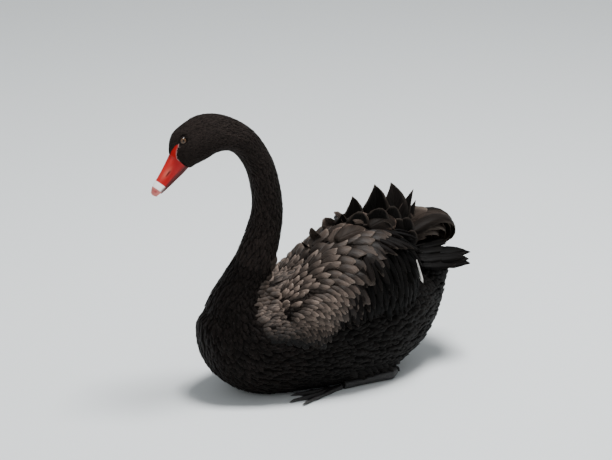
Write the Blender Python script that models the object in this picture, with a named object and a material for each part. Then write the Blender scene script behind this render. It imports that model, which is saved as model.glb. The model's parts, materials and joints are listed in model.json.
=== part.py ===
"""Black swan resting on its belly with its feet tucked in, neck arched, life size.

The bird faces -X, its left side is at -Y and +Z is up. The flat of the belly and the
soles of the feet lie at z = 0, and the origin is under the middle of its box.
Everything is in metres.
"""
import math
import random

import bmesh
import bpy
from mathutils import Matrix, Vector

# Gaps between pieces that touch
GAP = 0.0003
SINK = 0.0045          # how deep a feather's root goes into what carries it
VANE_THICK = 0.0012
VANE_CAMBER = 0.26     # fall of a vane's edge, as a share of its half width

# Hull of the body: x, half width, lowest z, highest z, z of the widest line
HULL = [
    (-0.2160, 0.020, 0.096, 0.135, 0.116),
    (-0.2090, 0.040, 0.066, 0.143, 0.111),
    (-0.1920, 0.058, 0.038, 0.151, 0.106),
    (-0.1600, 0.077, 0.012, 0.162, 0.104),
    (-0.1180, 0.094, -0.004, 0.171, 0.104),
    (-0.0500, 0.110, -0.007, 0.186, 0.106),
    (0.0300, 0.113, -0.007, 0.196, 0.108),
    (0.1000, 0.105, -0.003, 0.198, 0.112),
    (0.1500, 0.086, 0.014, 0.195, 0.114),
    (0.1900, 0.064, 0.038, 0.188, 0.118),
]
HULL_NOSE = (-0.2190, 0.117)
HULL_SIDES = 26
BELLY_POWER = 2.3      # how full the lower half of a section is
BACK_POWER = 2.1
BELLY_CREASE = math.radians(45)

# Line of the head and neck: x, z, half depth in the plane of the body, half width
NECK = [
    (-0.2530, 0.4219, 0.0209, 0.0140),
    (-0.2436, 0.4347, 0.0308, 0.0208),
    (-0.2316, 0.4456, 0.0350, 0.0240),
    (-0.2153, 0.4543, 0.0365, 0.0252),
    (-0.1989, 0.4585, 0.0345, 0.0248),
    (-0.1800, 0.4580, 0.0310, 0.0240),
    (-0.1610, 0.4530, 0.0268, 0.0232),
    (-0.1430, 0.4430, 0.0247, 0.0226),
    (-0.1270, 0.4270, 0.0238, 0.0224),
    (-0.1080, 0.3950, 0.0240, 0.0228),
    (-0.0980, 0.3600, 0.0248, 0.0236),
    (-0.0930, 0.3250, 0.0258, 0.0248),
    (-0.0960, 0.2950, 0.0286, 0.0268),
    (-0.1050, 0.2620, 0.0312, 0.0296),
    (-0.1160, 0.2320, 0.0334, 0.0330),
    (-0.1290, 0.2060, 0.0368, 0.0380),
    (-0.1400, 0.1820, 0.0420, 0.0460),
    (-0.1470, 0.1570, 0.0520, 0.0580),
    (-0.1490, 0.1260, 0.0620, 0.0680),
]
NECK_STEPS = 2         # rings between two stations
NECK_SIDES = 20
# Stations where one length of the neck ends and the next begins
HEAD_END = 5
UPPER_END = 9
MIDDLE_END = 12
LOWER_END = 15

# Bill: it runs from the middle of its base to the tip
BILL_BASE = Vector((-0.2560, 0.0, 0.4240))
BILL_DIR = Vector((-0.640, 0.0, -0.768)).normalized()
BILL_UP = Vector((-0.768, 0.0, 0.640)).normalized()
# Along the bill: distance, culmen height, edge of the mouth, underside, half width
BILL = [
    (-0.0020, 0.0172, -0.0128, -0.0220, 0.0128),
    (0.0120, 0.0145, -0.0114, -0.0200, 0.0122),
    (0.0260, 0.0122, -0.0096, -0.0170, 0.0110),
    (0.0400, 0.0104, -0.0074, -0.0138, 0.0106),
    (0.0520, 0.0090, -0.0054, -0.0102, 0.0110),
    (0.0610, 0.0076, -0.0042, -0.0074, 0.0096),
    (0.0660, 0.0056, -0.0042, -0.0052, 0.0066),
]
BILL_TIP = 0.0700
NOSTRIL_ALONG = 0.0275
NOSTRIL_UP = 0.0036
NOSTRIL_SIZE = (0.0052, 0.0026, 0.0017)

# Eyes
EYE_X = -0.2510
EYE_Z = 0.4585
EYE_Y = 0.0118         # middle of the globe
EYE_RADIUS = 0.0070
LID_RADIUS = 0.0058
LID_THICK = 0.0010
LID_OUT = 0.0035       # the ring of the lids lies this far out of the globe's middle
LID_FACING = (-0.30, 1.0, 0.22)

# Core of a folded wing: x, y of its ridge, reach outward and inward of the ridge,
# z of its lower edge, of its widest line and of the ridge
WING = [
    (-0.0960, 0.042, 0.046, 0.020, 0.126, 0.148, 0.172),
    (-0.0650, 0.034, 0.070, 0.026, 0.106, 0.148, 0.200),
    (-0.0300, 0.030, 0.081, 0.026, 0.100, 0.150, 0.226),
    (0.0100, 0.030, 0.086, 0.026, 0.098, 0.154, 0.248),
    (0.0500, 0.030, 0.086, 0.026, 0.100, 0.158, 0.262),
    (0.0900, 0.030, 0.081, 0.026, 0.104, 0.162, 0.266),
    (0.1250, 0.030, 0.071, 0.025, 0.112, 0.166, 0.256),
    (0.1480, 0.030, 0.056, 0.022, 0.124, 0.170, 0.234),
]
# The right wing's ridge lies lower in front, and its feathers lie flatter
RIGHT_DROP = 0.036
RIGHT_DROP_START = -0.020
RIGHT_DROP_END = 0.090
RIGHT_LIFT = -13
RIGHT_CURL = -0.45
WING_STEPS = 2
WING_SIDES = 18
WING_POWER = 2.1       # how full a section of the core is
WING_RIDGE_Y = 0.030
WING_TIP_BACK = 0.012

# Rows of rounded feathers over a wing: x of the roots, number, length, width,
# lift off the surface in degrees, curl
SCAPULARS = [
    (-0.074, 4, 0.040, 0.036, 13, -0.26),
    (-0.042, 5, 0.043, 0.040, 14, -0.26),
    (-0.008, 5, 0.047, 0.042, 16, -0.28),
    (0.027, 5, 0.052, 0.045, 19, -0.28),
    (0.061, 5, 0.056, 0.047, 23, -0.28),
    (0.092, 4, 0.056, 0.048, 26, -0.26),
]
LOW_LIE = 0.5          # how much flatter the lowest of a row lie than the highest
SCAPULAR_TOP = math.radians(112)
SCAPULAR_LOW = math.radians(-22)
# Pointed feathers that stand up from the ridge: x and z of the tip, length, width
CREST_LEFT = [
    (0.064, 0.300, 0.052, 0.036),
    (0.098, 0.304, 0.052, 0.040),
    (0.128, 0.300, 0.060, 0.040),
    (0.150, 0.280, 0.062, 0.034),
]
CREST_RIGHT = [
    (0.100, 0.300, 0.052, 0.038),
    (0.136, 0.319, 0.068, 0.042),
    (0.173, 0.313, 0.088, 0.042),
    (0.206, 0.286, 0.088, 0.036),
]
# Where a crest feather's root lies from its tip, by its length, and its place across
CREST_LEAN = -0.28
CREST_RISE = 0.96
CREST_TIP_Y = (0.030, 0.040)
CREST_ROOT_Y = 0.036
# Long feathers that hang over the wing's rear end, from the ridge round to the side
CURTAIN = 6
CURTAIN_TOP = math.radians(96)
CURTAIN_LOW = math.radians(12)
CURTAIN_X = 0.110
CURTAIN_LENGTH = 0.086
CURTAIN_WIDTH = 0.031
CURTAIN_SHORTEN = 0.42  # how much shorter the lowest is than the one at the ridge
# Broad curled feathers behind the right wing: y, z of the root, length, bend
LOBE = [
    (0.028, 0.214, 0.178, -2.60),
    (0.048, 0.212, 0.184, -2.50),
    (0.066, 0.204, 0.168, -2.35),
    (0.044, 0.206, 0.132, -2.10),
]
LOBE_WIDTH = 0.046
LOBE_ROOT_X = 0.146
LOBE_CAMBER = 0.30
LOBE_STEPS = 6
# Tips of the folded white flight feathers: how many, the first root's x, y and z
WHITE_TIPS = 2
WHITE_ROOT = (0.134, 0.044, 0.190)
WHITE_LENGTH = 0.066
WHITE_WIDTH = 0.012

# Root of the tail and the coverts under it: x, half width, lowest z, highest z
TAIL = [
    (0.1900, 0.064, 0.038, 0.190),
    (0.2050, 0.054, 0.052, 0.195),
    (0.2200, 0.044, 0.074, 0.199),
    (0.2320, 0.036, 0.104, 0.200),
    (0.2420, 0.028, 0.138, 0.198),
]
TAIL_SIDES = 20
TAIL_FEATHERS = 9
TAIL_SPREAD = math.radians(24)
TAIL_LENGTH = 0.092
TAIL_WIDTH = 0.030
TAIL_ROOT_X = 0.210
TAIL_ROOT_Z = 0.193
TAIL_DROOP = math.radians(4)
TAIL_TENT = 0.0030     # each feather lies this much below the one nearer the middle
TAIL_COVERTS = 5
COVERT_LENGTH = 0.046

# Legs and feet, the tarsus laid along the belly
ANKLE = Vector((0.105, 0.071, 0.0098))
TOE_ROOT = Vector((0.012, 0.073, 0.0072))
TARSUS_RADIUS = 0.0072
TOE_RADIUS = 0.0042
TOE_LENGTHS = (0.082, 0.098, 0.090)
TOE_ANGLES = (-6, 8, 21)
WEB_THICK = 0.0022
CLAW_LENGTH = 0.012

random.seed(11)


def clear_scene():
    for old in list(bpy.data.objects):
        bpy.data.objects.remove(old, do_unlink=True)


def make_material(name, colour, roughness):
    material = bpy.data.materials.new(name)
    material.use_nodes = True
    shader = material.node_tree.nodes["Principled BSDF"]
    shader.inputs["Base Color"].default_value = (*colour, 1.0)
    shader.inputs["Roughness"].default_value = roughness
    shader.inputs["Metallic"].default_value = 0.0
    return material


def smoothed(stations, steps):
    """Points on a smooth curve through the stations, `steps` to each stretch."""
    rows = [Vector(s) for s in stations]
    rows = [rows[0] * 2 - rows[1]] + rows + [rows[-1] * 2 - rows[-2]]
    points = []
    for i in range(1, len(rows) - 2):
        a, b, c, d = rows[i - 1:i + 3]
        for k in range(steps):
            t = k / steps
            points.append(0.5 * (2 * b + (c - a) * t + (2 * a - 5 * b + 4 * c - d) * t ** 2
                                 + (3 * b - a - 3 * c + d) * t ** 3))
    points.append(rows[-2].copy())
    return points


def at_value(stations, value):
    """The smooth row of stations where its first number is `value`."""
    rows = smoothed(stations, 8)
    for low, high in zip(rows, rows[1:]):
        if low[0] <= value <= high[0]:
            return low.lerp(high, (value - low[0]) / (high[0] - low[0]))
    return rows[0] if value < rows[0][0] else rows[-1]


def loft(rings, start=None, end=None):
    """A closed mesh through the rings, with a point or a flat cap at each end."""
    mesh = bmesh.new()
    rows = [[mesh.verts.new(p) for p in ring] for ring in rings]
    count = len(rings[0])
    for lower, upper in zip(rows, rows[1:]):
        for i in range(count):
            j = (i + 1) % count
            mesh.faces.new((lower[i], lower[j], upper[j], upper[i]))
    for row, point in ((rows[0], start), (rows[-1], end)):
        if point is None:
            mesh.faces.new(row)
            continue
        pole = mesh.verts.new(point)
        for i in range(count):
            mesh.faces.new((row[i], row[(i + 1) % count], pole))
    bmesh.ops.recalc_face_normals(mesh, faces=mesh.faces)
    return mesh


def make_object(name, mesh, material=None):
    bmesh.ops.triangulate(mesh, faces=mesh.faces)
    data = bpy.data.meshes.new(name)
    mesh.to_mesh(data)
    mesh.free()
    data.shade_smooth()
    if material:
        data.materials.append(material)
    piece = bpy.data.objects.new(name, data)
    bpy.context.scene.collection.objects.link(piece)
    return piece


def keep_largest(piece):
    """Keep only the largest closed surface of a mesh."""
    mesh = bmesh.new()
    mesh.from_mesh(piece.data)
    bmesh.ops.dissolve_degenerate(mesh, dist=1e-6, edges=mesh.edges)
    left = set(mesh.verts)
    shells = []
    while left:
        stack = [left.pop()]
        shell = set(stack)
        while stack:
            for edge in stack.pop().link_edges:
                for vert in edge.verts:
                    if vert in left:
                        left.discard(vert)
                        shell.add(vert)
                        stack.append(vert)
        shells.append(shell)
    shells.sort(key=len)
    loose = [v for shell in shells[:-1] for v in shell]
    bmesh.ops.delete(mesh, geom=loose, context="VERTS")
    bmesh.ops.triangulate(mesh, faces=mesh.faces)
    mesh.to_mesh(piece.data)
    mesh.free()
    piece.data.shade_smooth()


def apply_boolean(piece, others, operation, solver):
    group = bpy.data.collections.new("others")
    bpy.context.scene.collection.children.link(group)
    for other in others:
        for old in list(other.users_collection):
            old.objects.unlink(other)
        group.objects.link(other)
    change = piece.modifiers.new("join", "BOOLEAN")
    change.operation = operation
    change.operand_type = "COLLECTION"
    change.collection = group
    change.solver = solver
    graph = bpy.context.evaluated_depsgraph_get()
    result = bpy.data.meshes.new_from_object(piece.evaluated_get(graph))
    piece.modifiers.clear()
    piece.data = result
    for other in others:
        bpy.data.objects.remove(other, do_unlink=True)
    bpy.data.collections.remove(group)
    keep_largest(piece)


def union(piece, others):
    apply_boolean(piece, others, "UNION", "MANIFOLD")


def cut_clear(piece, neighbours, gap=GAP):
    """Cut a piece back so that it meets its neighbours face to face."""
    for neighbour in neighbours:
        swollen = neighbour.copy()
        swollen.data = neighbour.data.copy()
        bpy.context.scene.collection.objects.link(swollen)
        for vert, normal in zip(swollen.data.vertices, neighbour.data.vertex_normals):
            vert.co += normal.vector * gap * 1.25
        apply_boolean(piece, [swollen], "DIFFERENCE", "MANIFOLD")


def mirrored(vector, side):
    return Vector((vector.x, vector.y * side, vector.z))


def superellipse(angle, power):
    c, s = math.cos(angle), math.sin(angle)
    return (math.copysign(abs(c) ** (2 / power), c), math.copysign(abs(s) ** (2 / power), s))


def hull_ring(x, width, low, high, middle):
    ring = []
    for i in range(HULL_SIDES):
        angle = 2 * math.pi * i / HULL_SIDES
        above = math.sin(angle) >= 0
        y, z = superellipse(angle, BACK_POWER if above else BELLY_POWER)
        ring.append(Vector((x, width * y, middle + z * (high - middle if above else middle - low))))
    return ring


def neck_rings(first, last):
    """Rings square to the neck's line from one station to another."""
    line = smoothed(NECK, NECK_STEPS)
    rings = []
    for i in range(first * NECK_STEPS, last * NECK_STEPS + 1):
        x, z, depth, width = line[i]
        before, after = line[max(i - 1, 0)], line[min(i + 1, len(line) - 1)]
        along = Vector((after[0] - before[0], 0, after[1] - before[1])).normalized()
        across = Vector((-along.z, 0, along.x))
        rings.append((Vector((x, 0, z)), along, across, depth, width))
    return rings


def neck_mesh(first, last, gap_at_start=0.0):
    """One length of the neck; its start can be held back from the length before it."""
    rows = neck_rings(first, last)
    rings = []
    for i, (middle, along, across, depth, width) in enumerate(rows):
        shift = along * gap_at_start if i == 0 else Vector()
        ring = []
        for k in range(NECK_SIDES):
            angle = 2 * math.pi * k / NECK_SIDES
            ring.append(middle + shift + across * depth * math.cos(angle)
                        + Vector((0, width * math.sin(angle), 0)))
        rings.append(ring)
    return loft(rings)


def flatten_sole(mesh):
    """Cut off what lies below the floor and close the mesh with a flat."""
    cut = bmesh.ops.bisect_plane(mesh, geom=mesh.verts[:] + mesh.edges[:] + mesh.faces[:],
                                 plane_co=(0, 0, 0), plane_no=(0, 0, 1), clear_inner=True)
    edges = [e for e in cut["geom_cut"] if isinstance(e, bmesh.types.BMEdge)]
    bmesh.ops.contextual_create(mesh, geom=edges)
    bmesh.ops.recalc_face_normals(mesh, faces=mesh.faces)
    return mesh


def make_torso(material):
    """The hull with the swelling foot of the neck, cut flat where it rests."""
    rows = smoothed(HULL, 2)
    rings = [hull_ring(*row) for row in rows]
    nose = Vector((HULL_NOSE[0], 0, HULL_NOSE[1]))
    torso = make_object("torso", loft(rings, start=nose), material)
    union(torso, [make_object("breast", neck_mesh(LOWER_END, len(NECK) - 1))])
    mesh = bmesh.new()
    mesh.from_mesh(torso.data)
    flatten_sole(mesh)
    bmesh.ops.triangulate(mesh, faces=mesh.faces)
    mesh.to_mesh(torso.data)
    mesh.free()
    torso.data.shade_smooth()
    torso.data.set_sharp_from_angle(angle=BELLY_CREASE)
    return torso


def bill_point(along, up, side):
    return BILL_BASE + BILL_DIR * along + BILL_UP * up + Vector((0, side, 0))


def make_bill(materials):
    upper_rings, lower_rings = [], []
    for along, culmen, mouth, under, width in smoothed(BILL, 2):
        upper, lower = [], []
        for k in range(9):
            angle = math.pi * k / 8
            side, lift = superellipse(angle, 2.2)
            upper.append(bill_point(along, mouth + (culmen - mouth) * lift, width * side))
        for k in range(9):
            angle = -math.pi * k / 8
            side, lift = superellipse(angle, 2.4)
            lower.append(bill_point(along, mouth - GAP + (mouth - GAP - under) * lift,
                                    0.9 * width * side))
        upper_rings.append(upper)
        lower_rings.append(lower)
    upper = make_object("bill_upper", loft(upper_rings, end=bill_point(BILL_TIP, -0.001, 0)),
                        materials["bill"])
    lower = make_object("bill_lower", loft(lower_rings[:-1]), materials["bill_under"])
    pits = []
    for side in (-1, 1):
        pit = bmesh.new()
        bmesh.ops.create_uvsphere(pit, u_segments=10, v_segments=6, radius=1.0)
        turn = Matrix((BILL_DIR, BILL_UP, Vector((0, 1, 0)))).transposed().to_4x4()
        size = Matrix.Diagonal((*NOSTRIL_SIZE, 1.0))
        row = at_value(BILL, NOSTRIL_ALONG)
        rise = (NOSTRIL_UP - row[2]) / (row[1] - row[2])
        reach = row[4] * (1 - rise ** 2.2) ** (1 / 2.2)
        place = Matrix.Translation(bill_point(NOSTRIL_ALONG, NOSTRIL_UP, side * reach))
        bmesh.ops.transform(pit, matrix=place @ turn @ size, verts=pit.verts)
        bmesh.ops.recalc_face_normals(pit, faces=pit.faces)
        pits.append(make_object("pit", pit))
    apply_boolean(upper, pits, "DIFFERENCE", "MANIFOLD")
    return upper, lower


def make_head(materials):
    head = make_object("head", neck_mesh(0, HEAD_END), materials["head"])
    lids = []
    for side in (-1, 1):
        lid = bmesh.new()
        facing = mirrored(Vector(LID_FACING), side).normalized()
        centre = Vector((EYE_X, side * EYE_Y, EYE_Z)) + facing * LID_OUT
        turn = facing.to_track_quat("Z", "Y").to_matrix()
        ring_count, tube_count = 14, 6
        rows = []
        for i in range(ring_count):
            a = 2 * math.pi * i / ring_count
            out = Vector((math.cos(a), math.sin(a) * 0.86, 0))
            ring = []
            for k in range(tube_count):
                b = 2 * math.pi * k / tube_count
                local = out * (LID_RADIUS + LID_THICK * math.cos(b))
                local.z = 1.3 * LID_THICK * math.sin(b)
                ring.append(lid.verts.new(centre + turn @ local))
            rows.append(ring)
        for i in range(ring_count):
            for k in range(tube_count):
                n, m = (i + 1) % ring_count, (k + 1) % tube_count
                lid.faces.new((rows[i][k], rows[n][k], rows[n][m], rows[i][m]))
        bmesh.ops.recalc_face_normals(lid, faces=lid.faces)
        lids.append(make_object("lid", lid))
    union(head, lids)
    eyes = []
    for name, side in (("eye_left", -1), ("eye_right", 1)):
        globe = bmesh.new()
        bmesh.ops.create_icosphere(globe, subdivisions=2, radius=EYE_RADIUS)
        bmesh.ops.translate(globe, vec=(EYE_X, side * EYE_Y, EYE_Z), verts=globe.verts)
        eyes.append(make_object(name, globe, materials["eye"]))
    cut_clear(head, eyes)
    return head, eyes


def tube(points, radii, sides=10):
    rings = []
    for i, (point, radius) in enumerate(zip(points, radii)):
        before, after = points[max(i - 1, 0)], points[min(i + 1, len(points) - 1)]
        along = (after - before).normalized()
        across = along.cross(Vector((0, 0, 1))).normalized()
        up = across.cross(along)
        rings.append([point + radius * (across * math.cos(a) + up * math.sin(a))
                      for a in (2 * math.pi * k / sides for k in range(sides))])
    return loft(rings)


def make_leg(name, side, material):
    """The scaly tarsus, thick at the ankle, laid along the side of the belly."""
    points, radii = [], []
    for k in range(7):
        t = k / 6
        points.append(mirrored(ANKLE.lerp(TOE_ROOT, t), side))
        radii.append(TARSUS_RADIUS * (1.45 - 0.9 * t + 0.55 * t * t))
    ankle = points[0]
    points.insert(0, ankle + Vector((0.012, -side * 0.004, 0.004)))
    radii.insert(0, TARSUS_RADIUS * 0.9)
    return make_object(name, flatten_sole(tube(points, radii)), material)


def make_foot(name, side, material):
    """Three webbed toes with claws, half folded, and the small hind toe."""
    root = mirrored(TOE_ROOT, side) + Vector((-0.0016 - TARSUS_RADIUS * 0.3, 0, 0))
    root.z = TOE_RADIUS * 1.1
    tips, toes = [], []
    for length, degrees in zip(TOE_LENGTHS, TOE_ANGLES):
        turn = math.radians(degrees)
        along = Vector((-math.cos(turn), side * math.sin(turn), 0))
        points, radii = [], []
        for k in range(7):
            t = k / 6
            knuckle = 1 + 0.14 * math.cos(t * 6 * math.pi)
            points.append(root + along * length * t + Vector((0, 0, -0.0008 * t)))
            radii.append(TOE_RADIUS * (1.15 - 0.45 * t) * knuckle)
        tip = points[-1]
        points += [tip + along * CLAW_LENGTH * 0.5 + Vector((0, 0, -0.0006)),
                   tip + along * CLAW_LENGTH + Vector((0, 0, -0.0014))]
        radii += [TOE_RADIUS * 0.5, TOE_RADIUS * 0.18]
        toes.append(make_object("toe", flatten_sole(tube(points, radii, 6))))
        tips.append(tip)
    web = bmesh.new()
    outline = [root + Vector((0.004, 0, 0))]
    for i, tip in enumerate(tips):
        outline.append(tip.lerp(root, 0.04))
        if i < 2:
            outline.append(tip.lerp(tips[i + 1], 0.5).lerp(root, 0.20))
    lower = [web.verts.new((p.x, p.y, 0.0004)) for p in outline]
    upper = [web.verts.new((p.x, p.y, WEB_THICK)) for p in outline]
    for i in range(len(outline)):
        j = (i + 1) % len(outline)
        web.faces.new((lower[i], lower[j], upper[j], upper[i]))
    for i in range(1, len(outline) - 1):
        web.faces.new((lower[0], lower[i], lower[i + 1]))
        web.faces.new((upper[0], upper[i + 1], upper[i]))
    bmesh.ops.recalc_face_normals(web, faces=web.faces)
    foot = make_object(name, web, material)
    union(foot, toes)
    return foot


def wing_section(row, angle, side):
    """A point of the wing's core; angle 0 is the outer side and 90 degrees the ridge."""
    x, ridge_y, outward, inward, low, middle, ridge_z = row
    if side > 0:
        share = (RIGHT_DROP_END - x) / (RIGHT_DROP_END - RIGHT_DROP_START)
        ridge_z -= RIGHT_DROP * min(max(share, 0.0), 1.0) * min((ridge_z - middle) / 0.05, 1.0)
    y, z = superellipse(angle, WING_POWER)
    return Vector((x, ridge_y + (outward if y > 0 else inward) * y,
                   middle + (ridge_z - middle if z > 0 else middle - low) * z))


def wing_place(x, angle, side):
    """A point of the wing's surface, the way along it to the rear, and the way out."""
    step = 0.004
    here = wing_section(at_value(WING, x), angle, side)
    behind = wing_section(at_value(WING, x + step), angle, side) - here
    around = wing_section(at_value(WING, x), angle + 0.05, side) - here
    out = behind.cross(around).normalized()
    if out.dot(here - Vector((x, 0.05, 0.16))) < 0:
        out.negate()
    return mirrored(here, side), mirrored(behind.normalized(), side), mirrored(out, side)


def wing_feathers(side):
    """Every vane of one wing, each with its root in the core."""
    vanes = []
    for row, (x, count, length, width, lift, curl) in enumerate(SCAPULARS):
        for i in range(count):
            share = (i + 0.5 * (row % 2)) / (count - 0.5)
            angle = SCAPULAR_TOP + (SCAPULAR_LOW - SCAPULAR_TOP) * share
            root, back, out = wing_place(x + random.uniform(-0.004, 0.004), angle, side)
            rise = lift * (1.0 - LOW_LIE * share) + 5 * (i % 2) + random.uniform(-1.5, 1.5)
            if side > 0 and x < RIGHT_DROP_END - 0.02:
                rise, curl = rise + RIGHT_LIFT, RIGHT_CURL
            rise = math.radians(rise)
            down = Vector((0, 0, -1)) * 0.28 * share
            lie = (back + down - out * out.dot(down)).normalized()
            along = lie * math.cos(rise) + out * math.sin(rise)
            grow = random.uniform(0.92, 1.10)
            vanes.append(feather(root, along, out, length * grow, width * grow, curl=curl))
    crest = CREST_LEFT if side < 0 else CREST_RIGHT
    for i, (x, z, length, width) in enumerate(crest):
        tip = Vector((x, side * CREST_TIP_Y[i % 2], z))
        root = Vector((x + CREST_LEAN * length, side * CREST_ROOT_Y, z - CREST_RISE * length))
        out = Vector((-0.30, side, 0.30))
        vanes.append(feather(root, tip - root, out, length, width, curl=0.12, point=0.06))
    for i in range(CURTAIN):
        share = i / (CURTAIN - 1)
        angle = CURTAIN_TOP + (CURTAIN_LOW - CURTAIN_TOP) * share
        root, back, out = wing_place(CURTAIN_X + 0.030 * share * (1 - share), angle, side)
        along = Vector((0.12 - 0.10 * share, side * (0.16 - 0.2 * share), -0.80)) + out * 0.42
        length = CURTAIN_LENGTH * (1 - CURTAIN_SHORTEN * share)
        vanes.append(feather(root, along, out + Vector((0.5, 0, 0)), length, CURTAIN_WIDTH,
                             curl=-0.35 - 0.10 * (i % 2), point=0.25, steps=4))
    for i in range(WHITE_TIPS):
        x, y, z = WHITE_ROOT
        root = Vector((x, side * (y - 0.012 * i), z - 0.008 * i))
        along = Vector((0.80, -side * 0.12, -0.42 - 0.12 * i))
        vanes.append(feather(root, along, Vector((0.3, side, 0.5)), WHITE_LENGTH, WHITE_WIDTH,
                             point=0.2))
    if side > 0:
        for y, z, length, bend in LOBE:
            root = Vector((LOBE_ROOT_X, side * y, z))
            along = Vector((0.72, side * 0.08, 0.70))
            out = Vector((0, side * (y - WING_RIDGE_Y) * 12, 1))
            vanes.append(feather(root, along, out, length, LOBE_WIDTH, curl=bend, point=0.55,
                                 droop=LOBE_CAMBER, steps=LOBE_STEPS))
    return vanes


def make_wing(name, side, material):
    rings = []
    for row in smoothed(WING, WING_STEPS):
        rings.append([mirrored(wing_section(row, 2 * math.pi * k / WING_SIDES, side), side)
                      for k in range(WING_SIDES)])
    first, last = WING[0], WING[-1]
    start = mirrored(Vector((first[0] - 0.010, first[1], first[5])), side)
    end = mirrored(Vector((last[0] + WING_TIP_BACK, last[1], last[5])), side)
    wing = make_object(name, loft(rings, start=start, end=end), material)
    union(wing, wing_feathers(side))
    return wing


def cut_at_midline(wing, side):
    """Cut off what reaches over the middle of the back into the other wing."""
    mesh = bmesh.new()
    bmesh.ops.create_cube(mesh, size=1.0)
    bmesh.ops.translate(mesh, vec=(0, -side * (0.5 - 0.5 * GAP), 0.2), verts=mesh.verts)
    block = make_object("block", mesh)
    apply_boolean(wing, [block], "DIFFERENCE", "MANIFOLD")


def vane_share(t, point):
    """How wide a vane is at t along it, as a share of its full width."""
    if t <= 0:
        return 0.42
    swell = min(1.0, 0.55 + 1.1 * t)
    return swell * (1.0 - (1.0 - point) * max(0.0, (t - 0.50) / 0.50) ** 2.0)


def feather(root, along, out, length, width, curl=0.0, droop=0.0, point=0.35, steps=3):
    """A thin tapered vane, cambered across, that bends out by `curl` over its length."""
    along = along.normalized()
    out = (out - along * out.dot(along)).normalized()
    across = along.cross(out)
    mesh = bmesh.new()
    top, under = [], []
    place = root.copy()
    last = 0.0
    for t in [-SINK / length] + [(i / steps) ** 0.85 for i in range(1, steps + 1)]:
        angle = curl * max(0.5 * (t + last), 0.0) ** 1.5
        heading = along * math.cos(angle) + out * math.sin(angle)
        angle = curl * max(t, 0.0) ** 1.5
        normal = out * math.cos(angle) - along * math.sin(angle)
        place = place + heading * (t - last) * length
        last = t
        half = 0.5 * width * vane_share(t, point)
        depth = VANE_THICK * (1.0 - 0.45 * max(t, 0.0))
        row_top, row_under = [], []
        for k in (-1, 0, 1):
            low = (VANE_CAMBER + droop) * half * abs(k)
            spot = place + across * half * k - normal * low
            row_top.append(mesh.verts.new(spot + normal * depth * 0.5))
            row_under.append(mesh.verts.new(spot - normal * depth * 0.5))
        top.append(row_top)
        under.append(row_under)
    for a, b, c, d in zip(top, top[1:], under, under[1:]):
        for k in (0, 1):
            mesh.faces.new((a[k], a[k + 1], b[k + 1]))
            mesh.faces.new((a[k], b[k + 1], b[k]))
            mesh.faces.new((c[k], d[k + 1], c[k + 1]))
            mesh.faces.new((c[k], d[k], d[k + 1]))
        mesh.faces.new((a[0], b[0], d[0], c[0]))
        mesh.faces.new((a[2], c[2], d[2], b[2]))
    for a, c in ((top[0], under[0]), (top[-1], under[-1])):
        for k in (0, 1):
            mesh.faces.new((a[k], a[k + 1], c[k + 1], c[k]))
    bmesh.ops.recalc_face_normals(mesh, faces=mesh.faces)
    return make_object("feather", mesh)


def tail_ring(x, width, low, high):
    middle = 0.5 * (low + high)
    ring = []
    for i in range(TAIL_SIDES):
        y, z = superellipse(2 * math.pi * i / TAIL_SIDES, 2.2)
        ring.append(Vector((x, width * y, middle + z * (high - middle))))
    return ring


def make_tail(material):
    """The root of the tail, its fan of pointed feathers and the coverts over it."""
    rings = [tail_ring(*row) for row in smoothed(TAIL, 2)]
    for point in rings[0]:
        point.x += GAP
    tail = make_object("tail", loft(rings), material)
    feathers = []
    middle = (TAIL_FEATHERS - 1) / 2
    for i in range(TAIL_FEATHERS):
        place = (i - middle) / middle
        turn = TAIL_SPREAD * place
        along = Vector((math.cos(turn), math.sin(turn), -math.tan(TAIL_DROOP) - 0.20 * abs(place)))
        root = Vector((TAIL_ROOT_X, 0.022 * place, TAIL_ROOT_Z - TAIL_TENT * abs(i - middle)))
        length = TAIL_LENGTH * (1.0 - 0.18 * abs(place)) * random.uniform(0.95, 1.03)
        out = Vector((0, 0.9 * place, 1))
        feathers.append(feather(root, along, out, length, TAIL_WIDTH, point=0.12))
    for i in range(TAIL_COVERTS):
        place = (i - (TAIL_COVERTS - 1) / 2) / ((TAIL_COVERTS - 1) / 2)
        root = Vector((0.198 - 0.004 * abs(place), 0.036 * place, 0.186 - 0.014 * place ** 2))
        along = Vector((1, 0.25 * place, 0.36 + 0.06 * (i % 2)))
        feathers.append(feather(root, along, Vector((0, 0.7 * place, 1)), COVERT_LENGTH,
                                0.034, curl=-0.5))
    union(tail, feathers)
    return tail


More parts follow.
